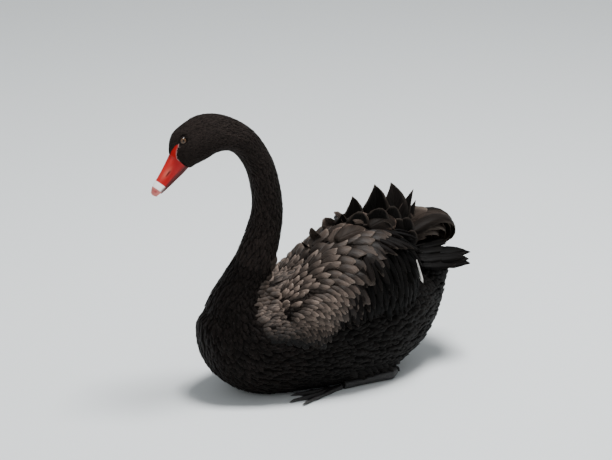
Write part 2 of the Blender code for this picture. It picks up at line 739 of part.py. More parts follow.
def main():
    clear_scene()
    materials = {
        "body": make_material("body_plumage", (0.020, 0.018, 0.017), 0.75),
        "head": make_material("head_plumage", (0.016, 0.014, 0.013), 0.70),
        "wing": make_material("wing_plumage", (0.035, 0.030, 0.027), 0.75),
        "bill": make_material("bill_horn", (0.60, 0.045, 0.035), 0.35),
        "bill_under": make_material("bill_under_horn", (0.16, 0.012, 0.012), 0.40),
        "eye": make_material("eye_glass", (0.25, 0.11, 0.03), 0.08),
        "leg": make_material("leg_skin", (0.035, 0.035, 0.037), 0.60),
    }
    torso = make_torso(materials["body"])
    head, eyes = make_head(materials)
    make_object("neck_upper", neck_mesh(HEAD_END, UPPER_END, GAP), materials["head"])
    make_object("neck_middle", neck_mesh(UPPER_END, MIDDLE_END, GAP), materials["head"])
    neck_lower = make_object("neck_lower", neck_mesh(MIDDLE_END, LOWER_END, GAP),
                             materials["body"])
    cut_clear(torso, [neck_lower])
    for bill in make_bill(materials):
        cut_clear(bill, [head])
    tail = make_tail(materials["body"])
    cut_clear(tail, [torso])
    for name, side in (("left", -1), ("right", 1)):
        wing = make_wing("wing_" + name, side, materials["wing"])
        cut_at_midline(wing, side)
        cut_clear(wing, [torso, neck_lower, tail])
        leg = make_leg("leg_" + name, side, materials["leg"])
        foot = make_foot("foot_" + name, side, materials["leg"])
        cut_clear(leg, [torso])
        cut_clear(foot, [torso, leg])


main()
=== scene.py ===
"""Looks of the black swan: one skin, its coat of feathers, the bill, eyes, legs and feet.

The swan faces -X, its left side is at -Y and +Z is up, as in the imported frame.
Everything is in metres.
"""

import json
import math

import bpy
import numpy as np
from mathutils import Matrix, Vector
from mathutils.bvhtree import BVHTree

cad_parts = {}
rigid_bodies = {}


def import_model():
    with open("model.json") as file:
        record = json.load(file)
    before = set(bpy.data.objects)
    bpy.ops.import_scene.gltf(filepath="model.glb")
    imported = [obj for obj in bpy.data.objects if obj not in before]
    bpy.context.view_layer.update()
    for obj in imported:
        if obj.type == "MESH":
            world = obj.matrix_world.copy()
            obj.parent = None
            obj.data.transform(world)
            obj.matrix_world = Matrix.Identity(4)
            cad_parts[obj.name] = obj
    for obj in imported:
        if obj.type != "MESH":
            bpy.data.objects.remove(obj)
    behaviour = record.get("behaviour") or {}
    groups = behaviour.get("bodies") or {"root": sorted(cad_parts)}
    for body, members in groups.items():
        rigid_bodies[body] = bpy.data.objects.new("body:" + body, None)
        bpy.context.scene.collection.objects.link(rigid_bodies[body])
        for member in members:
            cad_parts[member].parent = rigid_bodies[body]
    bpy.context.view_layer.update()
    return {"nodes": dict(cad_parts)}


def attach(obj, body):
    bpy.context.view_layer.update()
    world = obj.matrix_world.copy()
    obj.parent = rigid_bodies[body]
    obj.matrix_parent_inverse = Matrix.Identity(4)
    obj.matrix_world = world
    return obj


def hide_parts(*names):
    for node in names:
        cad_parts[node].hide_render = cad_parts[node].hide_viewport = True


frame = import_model()
nodes = frame["nodes"]
rng = np.random.default_rng(23)


# Studio: a plain pale floor under a large soft light, seen from the photo's angle.
# The camera looks down on the bird from its left front, as from a bank.
VIEW_TURN = math.radians(-28)
VIEW_PITCH = math.radians(18.8)
CAMERA_AT = (-1.988, -3.700, 1.693)
LENS = 155.7
FLOOR_SIZE = 24.0
# For each lamp: its place, size and power
LAMPS = (((0.45, -0.35, 3.5), 1.1, 215.0),
         ((-3.0, -2.6, 2.0), 2.4, 30.0),
         ((2.8, -1.6, 2.2), 2.0, 14.0))
LAMPS_FACE = Vector((0, 0, 0.2))


def linear(code):
    """A colour of the screen, as six hex digits, in linear light."""
    parts = [int(code[i:i + 2], 16) / 255 for i in (1, 3, 5)]
    return np.array([c / 12.92 if c <= 0.04045 else ((c + 0.055) / 1.055) ** 2.4 for c in parts])


def plug(tree, node, links):
    """Feeds a node's inputs, each from a node's first output or from one that is named."""
    for key, source in links.items():
        source, output = source if isinstance(source, tuple) else (source, 0)
        tree.links.new(source.outputs[output], node.inputs[key])


def add_node(tree, kind, settings=None, links=None):
    """One node with its settings and what is plugged into it."""
    node = tree.nodes.new("ShaderNode" + kind)
    for key, value in (settings or {}).items():
        if isinstance(key, str) and hasattr(node, key):
            setattr(node, key, value)
        else:
            node.inputs[key].default_value = value
    plug(tree, node, links or {})
    return node


def new_material(name, roughness, settings=None):
    """A material and its shader; numbers and colours go on the shader's own sockets."""
    material = bpy.data.materials.new(name)
    material.use_nodes = True
    shader = material.node_tree.nodes["Principled BSDF"]
    shader.inputs["Roughness"].default_value = roughness
    for key, value in (settings or {}).items():
        shader.inputs[key].default_value = value
    return material, material.node_tree, shader


def select_only(piece):
    bpy.ops.object.select_all(action="DESELECT")
    piece.select_set(True)
    bpy.context.view_layer.objects.active = piece


bpy.ops.object.select_all(action="DESELECT")
bpy.ops.object.camera_add(location=CAMERA_AT,
                          rotation=(math.pi / 2 - VIEW_PITCH, 0.0, VIEW_TURN))
camera = bpy.context.object
camera.data.lens = LENS
camera.data.sensor_width = 36.0
camera.data.clip_end = 60.0
bpy.context.scene.camera = camera

bpy.ops.mesh.primitive_plane_add(size=FLOOR_SIZE, location=(0, 0, 0))
floor = bpy.context.object
floor.name = "floor"
paper, tree, shader = new_material("matt_paper_floor", 0.9,
                                   {"Base Color": (*linear("#DDE1E2"), 1.0)})
floor.data.materials.append(paper)

for at, size, power in LAMPS:
    bpy.ops.object.light_add(type="AREA", location=at)
    lamp = bpy.context.object
    lamp.data.size = size
    lamp.data.energy = power
    lamp.rotation_euler = (Vector(at) - LAMPS_FACE).to_track_quat("Z", "Y").to_euler()
world = bpy.data.worlds.new("studio")
bpy.context.scene.world = world
world.use_nodes = True
sky = world.node_tree.nodes["Background"]
sky.inputs["Color"].default_value = (*linear("#EEF3F6"), 1.0)
sky.inputs["Strength"].default_value = 0.45


# Skin: the bird's body under its feathers, with no seam from the bill to the tail.
# It is fused from the flesh of torso, neck and head with the cores of both wings and
# the root of the tail, smoothed, and drawn in by the depth of the coat.
SKIN_VOXEL = 0.0032
SMOOTH_ROUNDS = 6
SWELL = 0.0005
FLESH = ("torso", "neck_lower", "neck_middle", "neck_upper", "head")
# Core of a folded wing: x, y of the ridge, reach outward and inward, and z of its
# lower edge, widest line and ridge
WING = np.array([
    (-0.0960, 0.042, 0.046, 0.020, 0.126, 0.148, 0.172),
    (-0.0650, 0.034, 0.070, 0.026, 0.106, 0.148, 0.200),
    (-0.0300, 0.030, 0.081, 0.026, 0.100, 0.150, 0.226),
    (0.0100, 0.030, 0.086, 0.026, 0.098, 0.154, 0.248),
    (0.0500, 0.030, 0.086, 0.026, 0.100, 0.158, 0.262),
    (0.0900, 0.030, 0.081, 0.026, 0.104, 0.162, 0.266),
    (0.1250, 0.030, 0.071, 0.025, 0.112, 0.166, 0.256),
    (0.1480, 0.030, 0.056, 0.022, 0.124, 0.170, 0.234),
    (0.1560, 0.032, 0.030, 0.014, 0.146, 0.172, 0.200),
])
WING_SIDES = 36
# The right wing's ridge is lower in front: by how much, and x where it starts and ends
RIGHT_DROP = 0.036
RIGHT_DROP_START = -0.020
RIGHT_DROP_END = 0.090
# Root of the tail: x, half width, lowest z, highest z
TAIL_ROOT = np.array([
    (0.1800, 0.066, 0.034, 0.190),
    (0.1900, 0.064, 0.038, 0.191),
    (0.2050, 0.054, 0.052, 0.195),
    (0.2200, 0.044, 0.074, 0.199),
    (0.2320, 0.036, 0.104, 0.200),
    (0.2420, 0.028, 0.138, 0.198),
    (0.2480, 0.016, 0.160, 0.190),
])
TAIL_SIDES = 28


def read_table(table, x):
    """The other columns of a table where its first is x."""
    return [np.interp(x, table[:, 0], table[:, k]) for k in range(1, table.shape[1])]


def superellipse(angle, power):
    c, s = math.cos(angle), math.sin(angle)
    return math.copysign(abs(c) ** (2 / power), c), math.copysign(abs(s) ** (2 / power), s)


def right_drop(x):
    """How much lower the right wing's ridge is than the left one's."""
    share = (RIGHT_DROP_END - x) / (RIGHT_DROP_END - RIGHT_DROP_START)
    return RIGHT_DROP * np.clip(share, 0.0, 1.0)


def wing_point(x, angle, side):
    """A point of the wing's core; angle 0 is the outer side and 90 degrees the ridge."""
    ridge_y, outward, inward, low, middle, ridge = read_table(WING, x)
    if side > 0:
        ridge -= right_drop(x) * min((ridge - middle) / 0.05, 1.0)
    y, z = superellipse(angle, 2.1)
    return Vector((x, side * (ridge_y + (outward if y > 0 else inward) * y),
                   middle + (ridge - middle if z > 0 else middle - low) * z))


def edit_all(piece, operator, **settings):
    """Runs an operator of edit mode on the whole of a mesh."""
    select_only(piece)
    bpy.ops.object.mode_set(mode="EDIT")
    bpy.ops.mesh.select_all(action="SELECT")
    operator(**settings)
    bpy.ops.object.mode_set(mode="OBJECT")


def start_picking(kind):
    """Nothing of the active mesh is selected any more, and the next picks are of a kind."""
    bpy.ops.object.mode_set(mode="EDIT")
    bpy.ops.mesh.select_mode(type=kind)
    bpy.ops.mesh.select_all(action="DESELECT")
    bpy.ops.object.mode_set(mode="OBJECT")


def ring_form(name, rings):
    """A closed mesh through rings of points, capped at both ends."""
    count = len(rings[0])
    points = [p for ring in rings for p in ring]
    faces = []
    for start in range(0, len(points) - count, count):
        for i in range(count):
            a, b = start + i, start + (i + 1) % count
            faces.append((a, b, b + count, a + count))
    faces += [list(range(count))[::-1], list(range(len(points) - count, len(points)))]
    data = bpy.data.meshes.new(name)
    data.from_pydata(points, [], faces)
    piece = bpy.data.objects.new(name, data)
    bpy.context.scene.collection.objects.link(piece)
    edit_all(piece, bpy.ops.mesh.normals_make_consistent, inside=False)
    return piece


def merged_copy(name):
    """A copy of one of the solids, its loose triangles joined at their corners."""
    piece = nodes[name].copy()
    piece.data = nodes[name].data.copy()
    piece.parent = None
    for key in list(piece.keys()):
        del piece[key]
    bpy.context.scene.collection.objects.link(piece)
    edit_all(piece, bpy.ops.mesh.remove_doubles, threshold=1e-6)
    return piece


def fuse(name, parts, voxel, rounds):
    """One closed surface round all the parts, rounded off."""
    select_only(parts[0])
    for piece in parts[1:]:
        piece.select_set(True)
    bpy.ops.object.join()
    piece = bpy.context.object
    piece.name = name
    for kind, settings in (("REMESH", {"mode": "VOXEL", "voxel_size": voxel}),
                           ("SMOOTH", {"factor": 0.5, "iterations": rounds})):
        step = piece.modifiers.new(kind.lower(), kind)
        for key, value in settings.items():
            setattr(step, key, value)
        bpy.ops.object.modifier_apply(modifier=step.name)
    return piece


def read_mesh(piece):
    """Vertices and normals of a mesh as arrays."""
    place, normal = np.zeros((2, len(piece.data.vertices) * 3))
    piece.data.vertices.foreach_get("co", place)
    piece.data.vertex_normals.foreach_get("vector", normal)
    return place.reshape(-1, 3), normal.reshape(-1, 3)


def fit(piece, finish, slot, *solids):
    """A piece's finish, the body it rides on and the solids it stands for; its slot is not used.
    """
    piece.data.materials.clear()
    piece.data.materials.append(finish)
    piece.data.shade_smooth()
    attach(piece, "root")
    if solids:
        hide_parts(*solids)


parts = [merged_copy(name) for name in FLESH]
for piece in parts:
    data = piece.data
    swollen = [v.co + n.vector * SWELL for v, n in zip(data.vertices, data.vertex_normals)]
    for vert, place in zip(data.vertices, swollen):
        vert.co = place
for side in (-1, 1):
    parts.append(ring_form("wing_core", [
        [wing_point(x, 2 * math.pi * k / WING_SIDES, side) for k in range(WING_SIDES)]
        for x in np.linspace(WING[0, 0], WING[-1, 0], 30)]))
rings = []
for x in np.linspace(TAIL_ROOT[0, 0], TAIL_ROOT[-1, 0], 14):
    width, low, high = read_table(TAIL_ROOT, x)
    around = (superellipse(2 * math.pi * k / TAIL_SIDES, 2.2) for k in range(TAIL_SIDES))
    rings.append([Vector((x, width * y, 0.5 * (low + high) + 0.5 * (high - low) * z))
                  for y, z in around])
parts.append(ring_form("tail_root", rings))
skin = fuse("skin", parts, SKIN_VOXEL, SMOOTH_ROUNDS)

# Only the outer surface is kept: all that hangs together with the foremost vertex
start_picking("VERT")
min(skin.data.vertices, key=lambda v: v.co.x).select = True
bpy.ops.object.mode_set(mode="EDIT")
bpy.ops.mesh.select_linked()
bpy.ops.mesh.select_all(action="INVERT")
bpy.ops.mesh.delete(type="VERT")
bpy.ops.object.mode_set(mode="OBJECT")

# The lie and length of the coat run along a line from the bill's base down the neck
# and back over the body: x, z and the length of the feathers there
LIE = np.array([
    (-0.2600, 0.4260, 0.0026),
    (-0.2465, 0.4400, 0.0030),
    (-0.2160, 0.4560, 0.0042),
    (-0.1800, 0.4590, 0.0055),
    (-0.1430, 0.4430, 0.0066),
    (-0.1080, 0.3950, 0.0080),
    (-0.0950, 0.3400, 0.0092),
    (-0.0960, 0.2950, 0.0105),
    (-0.1160, 0.2320, 0.0120),
    (-0.1400, 0.1820, 0.0135),
    (-0.1300, 0.1300, 0.0145),
    (-0.0700, 0.1100, 0.0160),
    (0.0500, 0.1100, 0.0180),
    (0.2500, 0.1300, 0.0180),
])
BODY_LENGTH = 0.0158   # no feather of the body is shorter
COAT_DEPTH = 0.11      # depth of the coat as a share of a feather's length


def lie_of(points):
    """For each point the way the coat lies there and how long its feathers are."""
    points = np.asarray(points)
    best = np.full(len(points), 1e9)
    way = np.zeros((len(points), 3))
    length = np.zeros(len(points))
    for a, b in zip(LIE, LIE[1:]):
        span = (b - a)[:2]
        local = points[:, [0, 2]] - a[:2]
        share = np.clip(local @ span / (span @ span), 0.0, 1.0)
        off = np.linalg.norm(local - share[:, None] * span, axis=1)
        nearer = off < best
        best[nearer] = off[nearer]
        way[nearer, 0] = span[0]
        way[nearer, 2] = span[1]
        length[nearer] = (a[2] + (b[2] - a[2]) * share)[nearer]
    way /= np.linalg.norm(way, axis=1)[:, None]
    x, y, z = points.T
    body = np.clip((0.20 - z) / 0.08, 0.0, 1.0) * np.clip((x + 0.175) / 0.05, 0.0, 1.0)
    body = np.maximum(body, np.clip((x + 0.075) / 0.03, 0.0, 1.0) * (z < 0.30))
    back = np.stack([np.ones_like(x), 0 * x, -0.10 - 0.9 * np.clip(x - 0.15, 0, 1)], axis=1)
    way = way * (1 - body)[:, None] + back * body[:, None]
    length = length * (1 - body) + np.maximum(length, BODY_LENGTH) * body
    return way / np.linalg.norm(way, axis=1)[:, None], length


# Smoothing has drawn in the forehead and the chin; they are filled out again.
# For each: x, z, how far it reaches and by how much
FULLER = ((-0.2600, 0.4680, 0.016, 0.0030), (-0.2450, 0.4120, 0.015, 0.0038),
          (-0.2150, 0.4800, 0.030, 0.0014))
LOWEST_SKIN = 0.0025
place, normal = read_mesh(skin)
place -= normal * (lie_of(place)[1] * COAT_DEPTH)[:, None]
for x, z, reach, swell in FULLER:
    near = np.exp(-((place[:, 0] - x) ** 2 + (place[:, 2] - z) ** 2) / reach ** 2)
    place += normal * (swell * near)[:, None]
place[:, 2] = np.maximum(place[:, 2], LOWEST_SKIN)
skin.data.vertices.foreach_set("co", place.ravel())
skin.data.update()

# The face is made finer, so that the edge of the bare skin before the eye is sharp
FACE_AT = Vector((-0.252, 0.0, 0.432))
FACE_REACH = 0.036
select_only(skin)
start_picking("FACE")
for face in skin.data.polygons:
    face.select = (face.center - FACE_AT).length < FACE_REACH
bpy.ops.object.mode_set(mode="EDIT")
bpy.ops.mesh.subdivide(number_cuts=2, smoothness=0.6)
bpy.ops.object.mode_set(mode="OBJECT")

# Markings of the skin and the coat alike: near black on head and neck, brown-black on
# the flanks and darkest along the waterline, with bare red skin before the eye
EYE_AT = Vector((-0.2510, 0.0118, 0.4585))
BILL_BASE = np.array((-0.2560, 0.0, 0.4240))
BILL_WAY = np.array((-0.640, 0.0, -0.768)) / math.hypot(0.640, 0.768)
BILL_UP = np.array((-0.768, 0.0, 0.640)) / math.hypot(0.640, 0.768)
BILL_ROUND = 0.014     # radius that turns degrees round the bill into a length
# Outline of the bare lores: the way along the bill and degrees round it from its top.
# It starts at the point by the eye, runs down the hollow rear edge to the gape, then
# round under the bill and up to the feathers of the forehead.
LORES = np.array([
    (-0.0214, 33.6), (-0.0164, 37.8), (-0.0105, 37.6), (-0.0050, 42.7), (-0.0010, 52.9),
    (0.0009, 77.5), (0.0036, 106.0), (0.0057, 131.0), (0.0072, 140.0), (0.0300, 140.0),
    (0.0300, -2.0), (0.0014, -2.0), (0.0014, 0.8), (-0.0015, 8.7), (-0.0057, 14.9),
    (-0.0111, 19.5), (-0.0169, 25.9)])
LORES[:, 1] *= math.radians(1) * BILL_ROUND
LORE_REAR = 8          # edges of the outline that face the feathers of the cheek
HEAD_LOW = 0.40        # the head starts at this height
UNDER_EYE = np.array((-0.2560, 0.0150, 0.4490))   # a small pale fold of skin
UNDER_EYE_REACH = 0.0026
NECK_BLACK = linear("#191412")
BACK_BROWN = linear("#51463F")
FLANK_BROWN = linear("#120F0D")
# Under the scapulars coat and skin are a dark brown: partly the downy bases' own colour and
# partly painted shade between the feathers above
DOWN_AND_SHADE_BROWN = linear("#2C2521")
BELLY_DARK = linear("#0D0B0A")
LORE_RED = linear("#A81A1B")
LORE_EDGE = linear("#9C8682")


def lore_share(points):
    """1 on the bare skin of the lores, 0 on the feathers, and how near its rear edge is."""
    local = np.asarray(points) - BILL_BASE
    round_ = np.arctan2(np.abs(local[:, 1]), local @ BILL_UP)
    flat = np.stack([local @ BILL_WAY, round_ * BILL_ROUND], axis=1)
    inside = np.zeros(len(flat), bool)
    near, near_rear = np.full((2, len(flat)), 1e9)
    for i, (a, b) in enumerate(zip(LORES, np.roll(LORES, -1, axis=0))):
        span = b - a
        share = np.clip((flat - a) @ span / (span @ span), 0.0, 1.0)
        off = np.linalg.norm(flat - a - share[:, None] * span, axis=1)
        near = np.minimum(near, off)
        if i < LORE_REAR:
            near_rear = np.minimum(near_rear, off)
        crosses = (a[1] > flat[:, 1]) != (b[1] > flat[:, 1])
        slope = span[0] / span[1] if span[1] else 0.0
        inside ^= crosses & (flat[:, 0] < a[0] + slope * (flat[:, 1] - a[1]))
    inside &= points[:, 2] > HEAD_LOW
    return np.clip(np.where(inside, near, -near) / 0.0006 + 0.5, 0.0, 1.0), near_rear


# Zone of the brown scapulars: height, and x where it starts and ends there
MANTLE = np.array([
    (0.090, -0.100, -0.080),
    (0.105, -0.125, -0.054),
    (0.127, -0.142, -0.032),
    (0.158, -0.148, -0.004),
    (0.190, -0.132, 0.014),
    (0.234, -0.100, 0.038),
    (0.270, -0.060, 0.100),
])


def even_height(points):
    """Height on the side of the bird, as if the right wing were raised like the left."""
    x, y, z = points.T
    return z + np.where(y > 0, right_drop(x) * np.clip((z - 0.15) / 0.08, 0.0, 1.0), 0.0)


def mantle_zone(points):
    """How far inside the zone of the scapulars a point is, from its front and its rear."""
    start, end = read_table(MANTLE, even_height(points))
    return points[:, 0] - start, end - points[:, 0]


def paint(tone, colour, share):
    """The tone of each point with a share of a colour laid over it."""
    share = share[:, None]
    return tone * (1 - share) + colour * share


def markings(points):
    """The coat's colour at each point, in linear light."""
    x, y, z = points.T
    front, rear = mantle_zone(points)
    side = 1 - np.clip(front / 0.02, 0, 1) * np.clip(rear / 0.02, 0, 1)
    side = np.maximum(side, np.clip((0.15 - z) / 0.06, 0, 1) * 0.8)
    # everything starts from the dark brown of down and painted shade under the scapulars
    tone = np.tile(DOWN_AND_SHADE_BROWN, (len(x), 1))
    tone = paint(tone, FLANK_BROWN, side)
    tone = paint(tone, BELLY_DARK, np.clip((0.055 - z) / 0.04, 0, 1))
    return paint(tone, NECK_BLACK, np.clip((-0.075 - x) / 0.03, 0, 1))


def set_colours(data, name, values):
    layer = data.attributes.new(name, "FLOAT_COLOR", "POINT")
    rows = np.ones((len(values), 4), np.float32)
    rows[:, :values.shape[1]] = values
    layer.data.foreach_set("color", rows.ravel())


def grained(name, roughness, specular, scale, strength, depth):
    """A finish that takes its colour from Tone and has a fine grain."""
    material, tree, shader = new_material(name, roughness, {"Specular IOR Level": specular})
    spot = add_node(tree, "TexCoord")
    tone = add_node(tree, "Attribute", {"attribute_name": "Tone"})
    grain = add_node(tree, "TexNoise", {"Scale": scale, "Detail": 3.0},
                     {"Vector": (spot, "Object")})
    bump = add_node(tree, "Bump", {"Strength": strength, "Distance": depth}, {"Height": grain})
    plug(tree, shader, {"Base Color": tone, "Normal": bump})
    return material


place = read_mesh(skin)[0]
bare, rear = lore_share(place)
# The bare red is painted lighter towards the top and darker below: painted light from above and
# painted shade under it
lore_light_and_shade = 0.85 + 0.25 * np.clip((place[:, 2] - 0.415) / 0.03, 0, 1)
tone = paint(markings(place) * 0.6, LORE_RED * lore_light_and_shade[:, None], bare)
tone = paint(tone, LORE_EDGE, 0.8 * np.exp(-(rear / 0.0008) ** 2) * (place[:, 2] > HEAD_LOW))
from_patch = (place - UNDER_EYE) * (1.0, 0.0, 1.0)
from_patch[:, 1] = np.abs(place[:, 1]) - UNDER_EYE[1]
near = np.exp(-np.sum(from_patch ** 2, axis=1) / UNDER_EYE_REACH ** 2)
set_colours(skin.data, "Tone", paint(tone, LORE_EDGE, 0.9 * near))

# An unwrap of the skin, from which each feather takes its place on the baked picture
edit_all(skin, bpy.ops.uv.smart_project, angle_limit=math.radians(66), island_margin=0.004)
skin.data.uv_layers[0].name = "OFBake"
# Bare skin has fine pores; under the feathers it only fills the gaps between them
PORE = 0.0006
fit(skin, grained("downy_skin", 0.7, 0.05, 1 / PORE / 6, 0.25, 0.0004), "body_plumage",
    *FLESH, "wing_left", "wing_right", "tail")

skin_tree = BVHTree.FromPolygons([v.co.copy() for v in skin.data.vertices],
                                 [tuple(f.vertices) for f in skin.data.polygons])
face_area = np.array([f.area for f in skin.data.polygons])
face_middle = np.array([f.center for f in skin.data.polygons])
face_up = np.array([f.normal for f in skin.data.polygons])
loop_uv = np.zeros(len(skin.data.loops) * 2)
skin.data.uv_layers["OFBake"].data.foreach_get("uv", loop_uv)
loop_uv = loop_uv.reshape(-1, 2)
uv_of_face = np.array([loop_uv[f.loop_start:f.loop_start + f.loop_total].mean(0)
                       for f in skin.data.polygons])


# Body feathers: short and velvety on the head, longer down the neck, broad on the
# breast, flanks and belly. Each is a thin closed vane with its root in the skin.
BAKE_PATCH = 0.003
SPACING = 0.40         # distance between roots as a share of a feather's length
COAT_ROWS = 4
# Feathers are spaced out in bands of like length, each up to one of these
BAND_ENDS = (0.0032, 0.0050, 0.0080, 0.0125, 0.0160, 0.0400)


def weave(name, roots, centre, across, out, half, thick, camber, tone, rim, finish, slot,
          columns=3):
    """One joined mesh of vanes from arrays: each vane's midline, its width and its colour.

    centre, across and out hold a row of vectors for each vane; half and thick are
    half widths and thicknesses along it.
    """
    count, rows = half.shape
    share = np.linspace(-1.0, 1.0, columns)
    top = (centre[:, :, None] + across[:, :, None] * (half[:, :, None] * share)[..., None]
           - out[:, :, None] * (half[:, :, None] * camber[:, None, None]
                                * share ** 2)[..., None])
    inner = top[:, :, 1:-1] - out[:, :, None] * thick[:, :, None, None]
    points = np.concatenate([top, inner], axis=2).reshape(count, -1, 3)
    wide = columns + columns - 2
    faces = []
    for a in range(0, (rows - 1) * wide, wide):
        b = a + wide
        for c in range(columns - 1):
            faces.append((a + c, b + c, b + c + 1, a + c + 1))
        under = [0] + list(range(columns, wide)) + [columns - 1]
        for c, d in zip(under, under[1:]):
            faces.append((a + c, a + d, b + d, b + c))
    ring = list(range(columns)) + list(range(wide - 1, columns - 1, -1))
    faces.append(ring)
    faces.append([(rows - 1) * wide + k for k in ring[::-1]])
    corners = np.concatenate([np.array(f) for f in faces])
    starts = np.cumsum([0] + [len(f) for f in faces[:-1]])
    per = rows * wide
    each = np.arange(count)[:, None]
    data = bpy.data.meshes.new(name)
    data.vertices.add(count * per)
    data.vertices.foreach_set("co", points.ravel())
    data.loops.add(len(corners) * count)
    data.loops.foreach_set("vertex_index", (corners + per * each).ravel().astype(np.int32))
    data.polygons.add(len(starts) * count)
    data.polygons.foreach_set("loop_start",
                              (starts + len(corners) * each).ravel().astype(np.int32))
    u = np.concatenate([share, share[1:-1]]) * 0.5 + 0.5
    along = np.linspace(0.0, 1.0, rows)
    vane = np.stack(np.broadcast_arrays(u, along[:, None]), axis=-1).reshape(-1, 2)[corners]
    bake = np.array([uv_of_face[skin_tree.find_nearest(Vector(p))[2]] for p in roots])
    for layer, places in (("Vane", np.tile(vane, (count, 1))),
                          ("OFBake", bake[:, None] + (vane - 0.5) * BAKE_PATCH)):
        data.uv_layers.new(name=layer).data.foreach_set("uv", places.ravel())
    set_colours(data, "Tone", np.repeat(tone, per, axis=0))
    set_colours(data, "Rim", np.repeat(rim, per, axis=0))
    data.validate()
    data.update()
    piece = bpy.data.objects.new(name, data)
    bpy.context.scene.collection.objects.link(piece)
    fit(piece, finish, slot)


def spread(wanted):
    """Evenly scattered places on the skin where wanted(points) says so."""
    weight = face_area / (lie_of(face_middle)[1] * SPACING) ** 2 * wanted(face_middle)
    pick = rng.choice(len(weight), size=int(5.5 * weight.sum()), p=weight / weight.sum())
    chosen = []
    for i in pick:
        corner = [skin.data.vertices[v].co for v in skin.data.polygons[i].vertices]
        share = rng.dirichlet(np.ones(len(corner)))
        chosen.append(sum((c * s for c, s in zip(corner, share)), Vector()))
    chosen = np.array(chosen)
    gap = lie_of(chosen)[1] * SPACING
    kept = []
    for low, high in zip((0.0,) + BAND_ENDS, BAND_ENDS):
        band = np.where((gap / SPACING > low) & (gap / SPACING <= high))[0]
        if not len(band):
            continue
        cell = gap[band].max()
        cells = {}
        for i in band:
            key = tuple((chosen[i] // cell).astype(int))
            near = [p for dx in (-1, 0, 1) for dy in (-1, 0, 1) for dz in (-1, 0, 1)
                    for p in cells.get((key[0] + dx, key[1] + dy, key[2] + dz), ())]
            if near and np.min(np.sum((np.array(near) - chosen[i]) ** 2, axis=1)) < gap[i] ** 2:
                continue
            cells.setdefault(key, []).append(chosen[i])
            kept.append(chosen[i])
    return np.array(kept)


def lay_coat(name, wanted, lift, shade, slot, finish, width=0.62):
    """Feathers that lie along the skin from their roots, each a little lifted at its tip.

    Their width is a share of their length.
    """
    roots = spread(wanted)
    way, length = lie_of(roots)
    count = len(roots)
    length = length * rng.uniform(0.8, 1.25, count)
    turn = rng.normal(0.0, 0.16, count)
    steps = np.linspace(0.0, 1.0, COAT_ROWS)
    centre, across, out = np.zeros((3, count, COAT_ROWS, 3))
    raised = lift * (1.0 + rng.normal(0.0, 0.25, count))
    for i in range(count):
        spot, up, face, far = skin_tree.find_nearest(Vector(roots[i]))
        go = Vector(way[i])
        for r in range(COAT_ROWS):
            go = (go - up * go.dot(up)).normalized()
            if r == 0:
                go = (go + up.cross(go) * turn[i]).normalized()
            centre[i, r] = spot
            out[i, r] = up
            across[i, r] = go.cross(up)
            spot, up, face, far = skin_tree.find_nearest(spot + go * length[i] / (COAT_ROWS - 1))
    centre += out * (0.0002 + (length * raised)[:, None] * steps ** 0.8)[..., None]
    centre[..., 2] = np.maximum(centre[..., 2], 0.0008)
    shape = np.interp(steps, (0.0, 0.35, 0.70, 0.88, 1.0), (0.45, 0.92, 1.0, 0.78, 0.30))
    half = 0.5 * (length * width * rng.uniform(0.85, 1.15, count))[:, None] * shape
    thick = np.maximum(0.00025, 0.03 * length)[:, None] * (1.0 - 0.6 * steps)
    tone = markings(roots) * shade * rng.uniform(0.72, 1.30, (count, 1))
    rim = np.column_stack([np.clip(tone * 2.0, 0, 1), np.full(count, 0.35)])
    camber = 0.16 * rng.uniform(0.7, 1.3, count)
    weave(name, roots, centre, across, out, half, thick, camber, tone, rim, finish, slot)


# Contour feathers are keratin vanes: dark barbs slant out from a paler quill, and the
# worn rim of each vane is lighter. The barbs are drawn coarser than real, so they show.
BARBS = 26.0


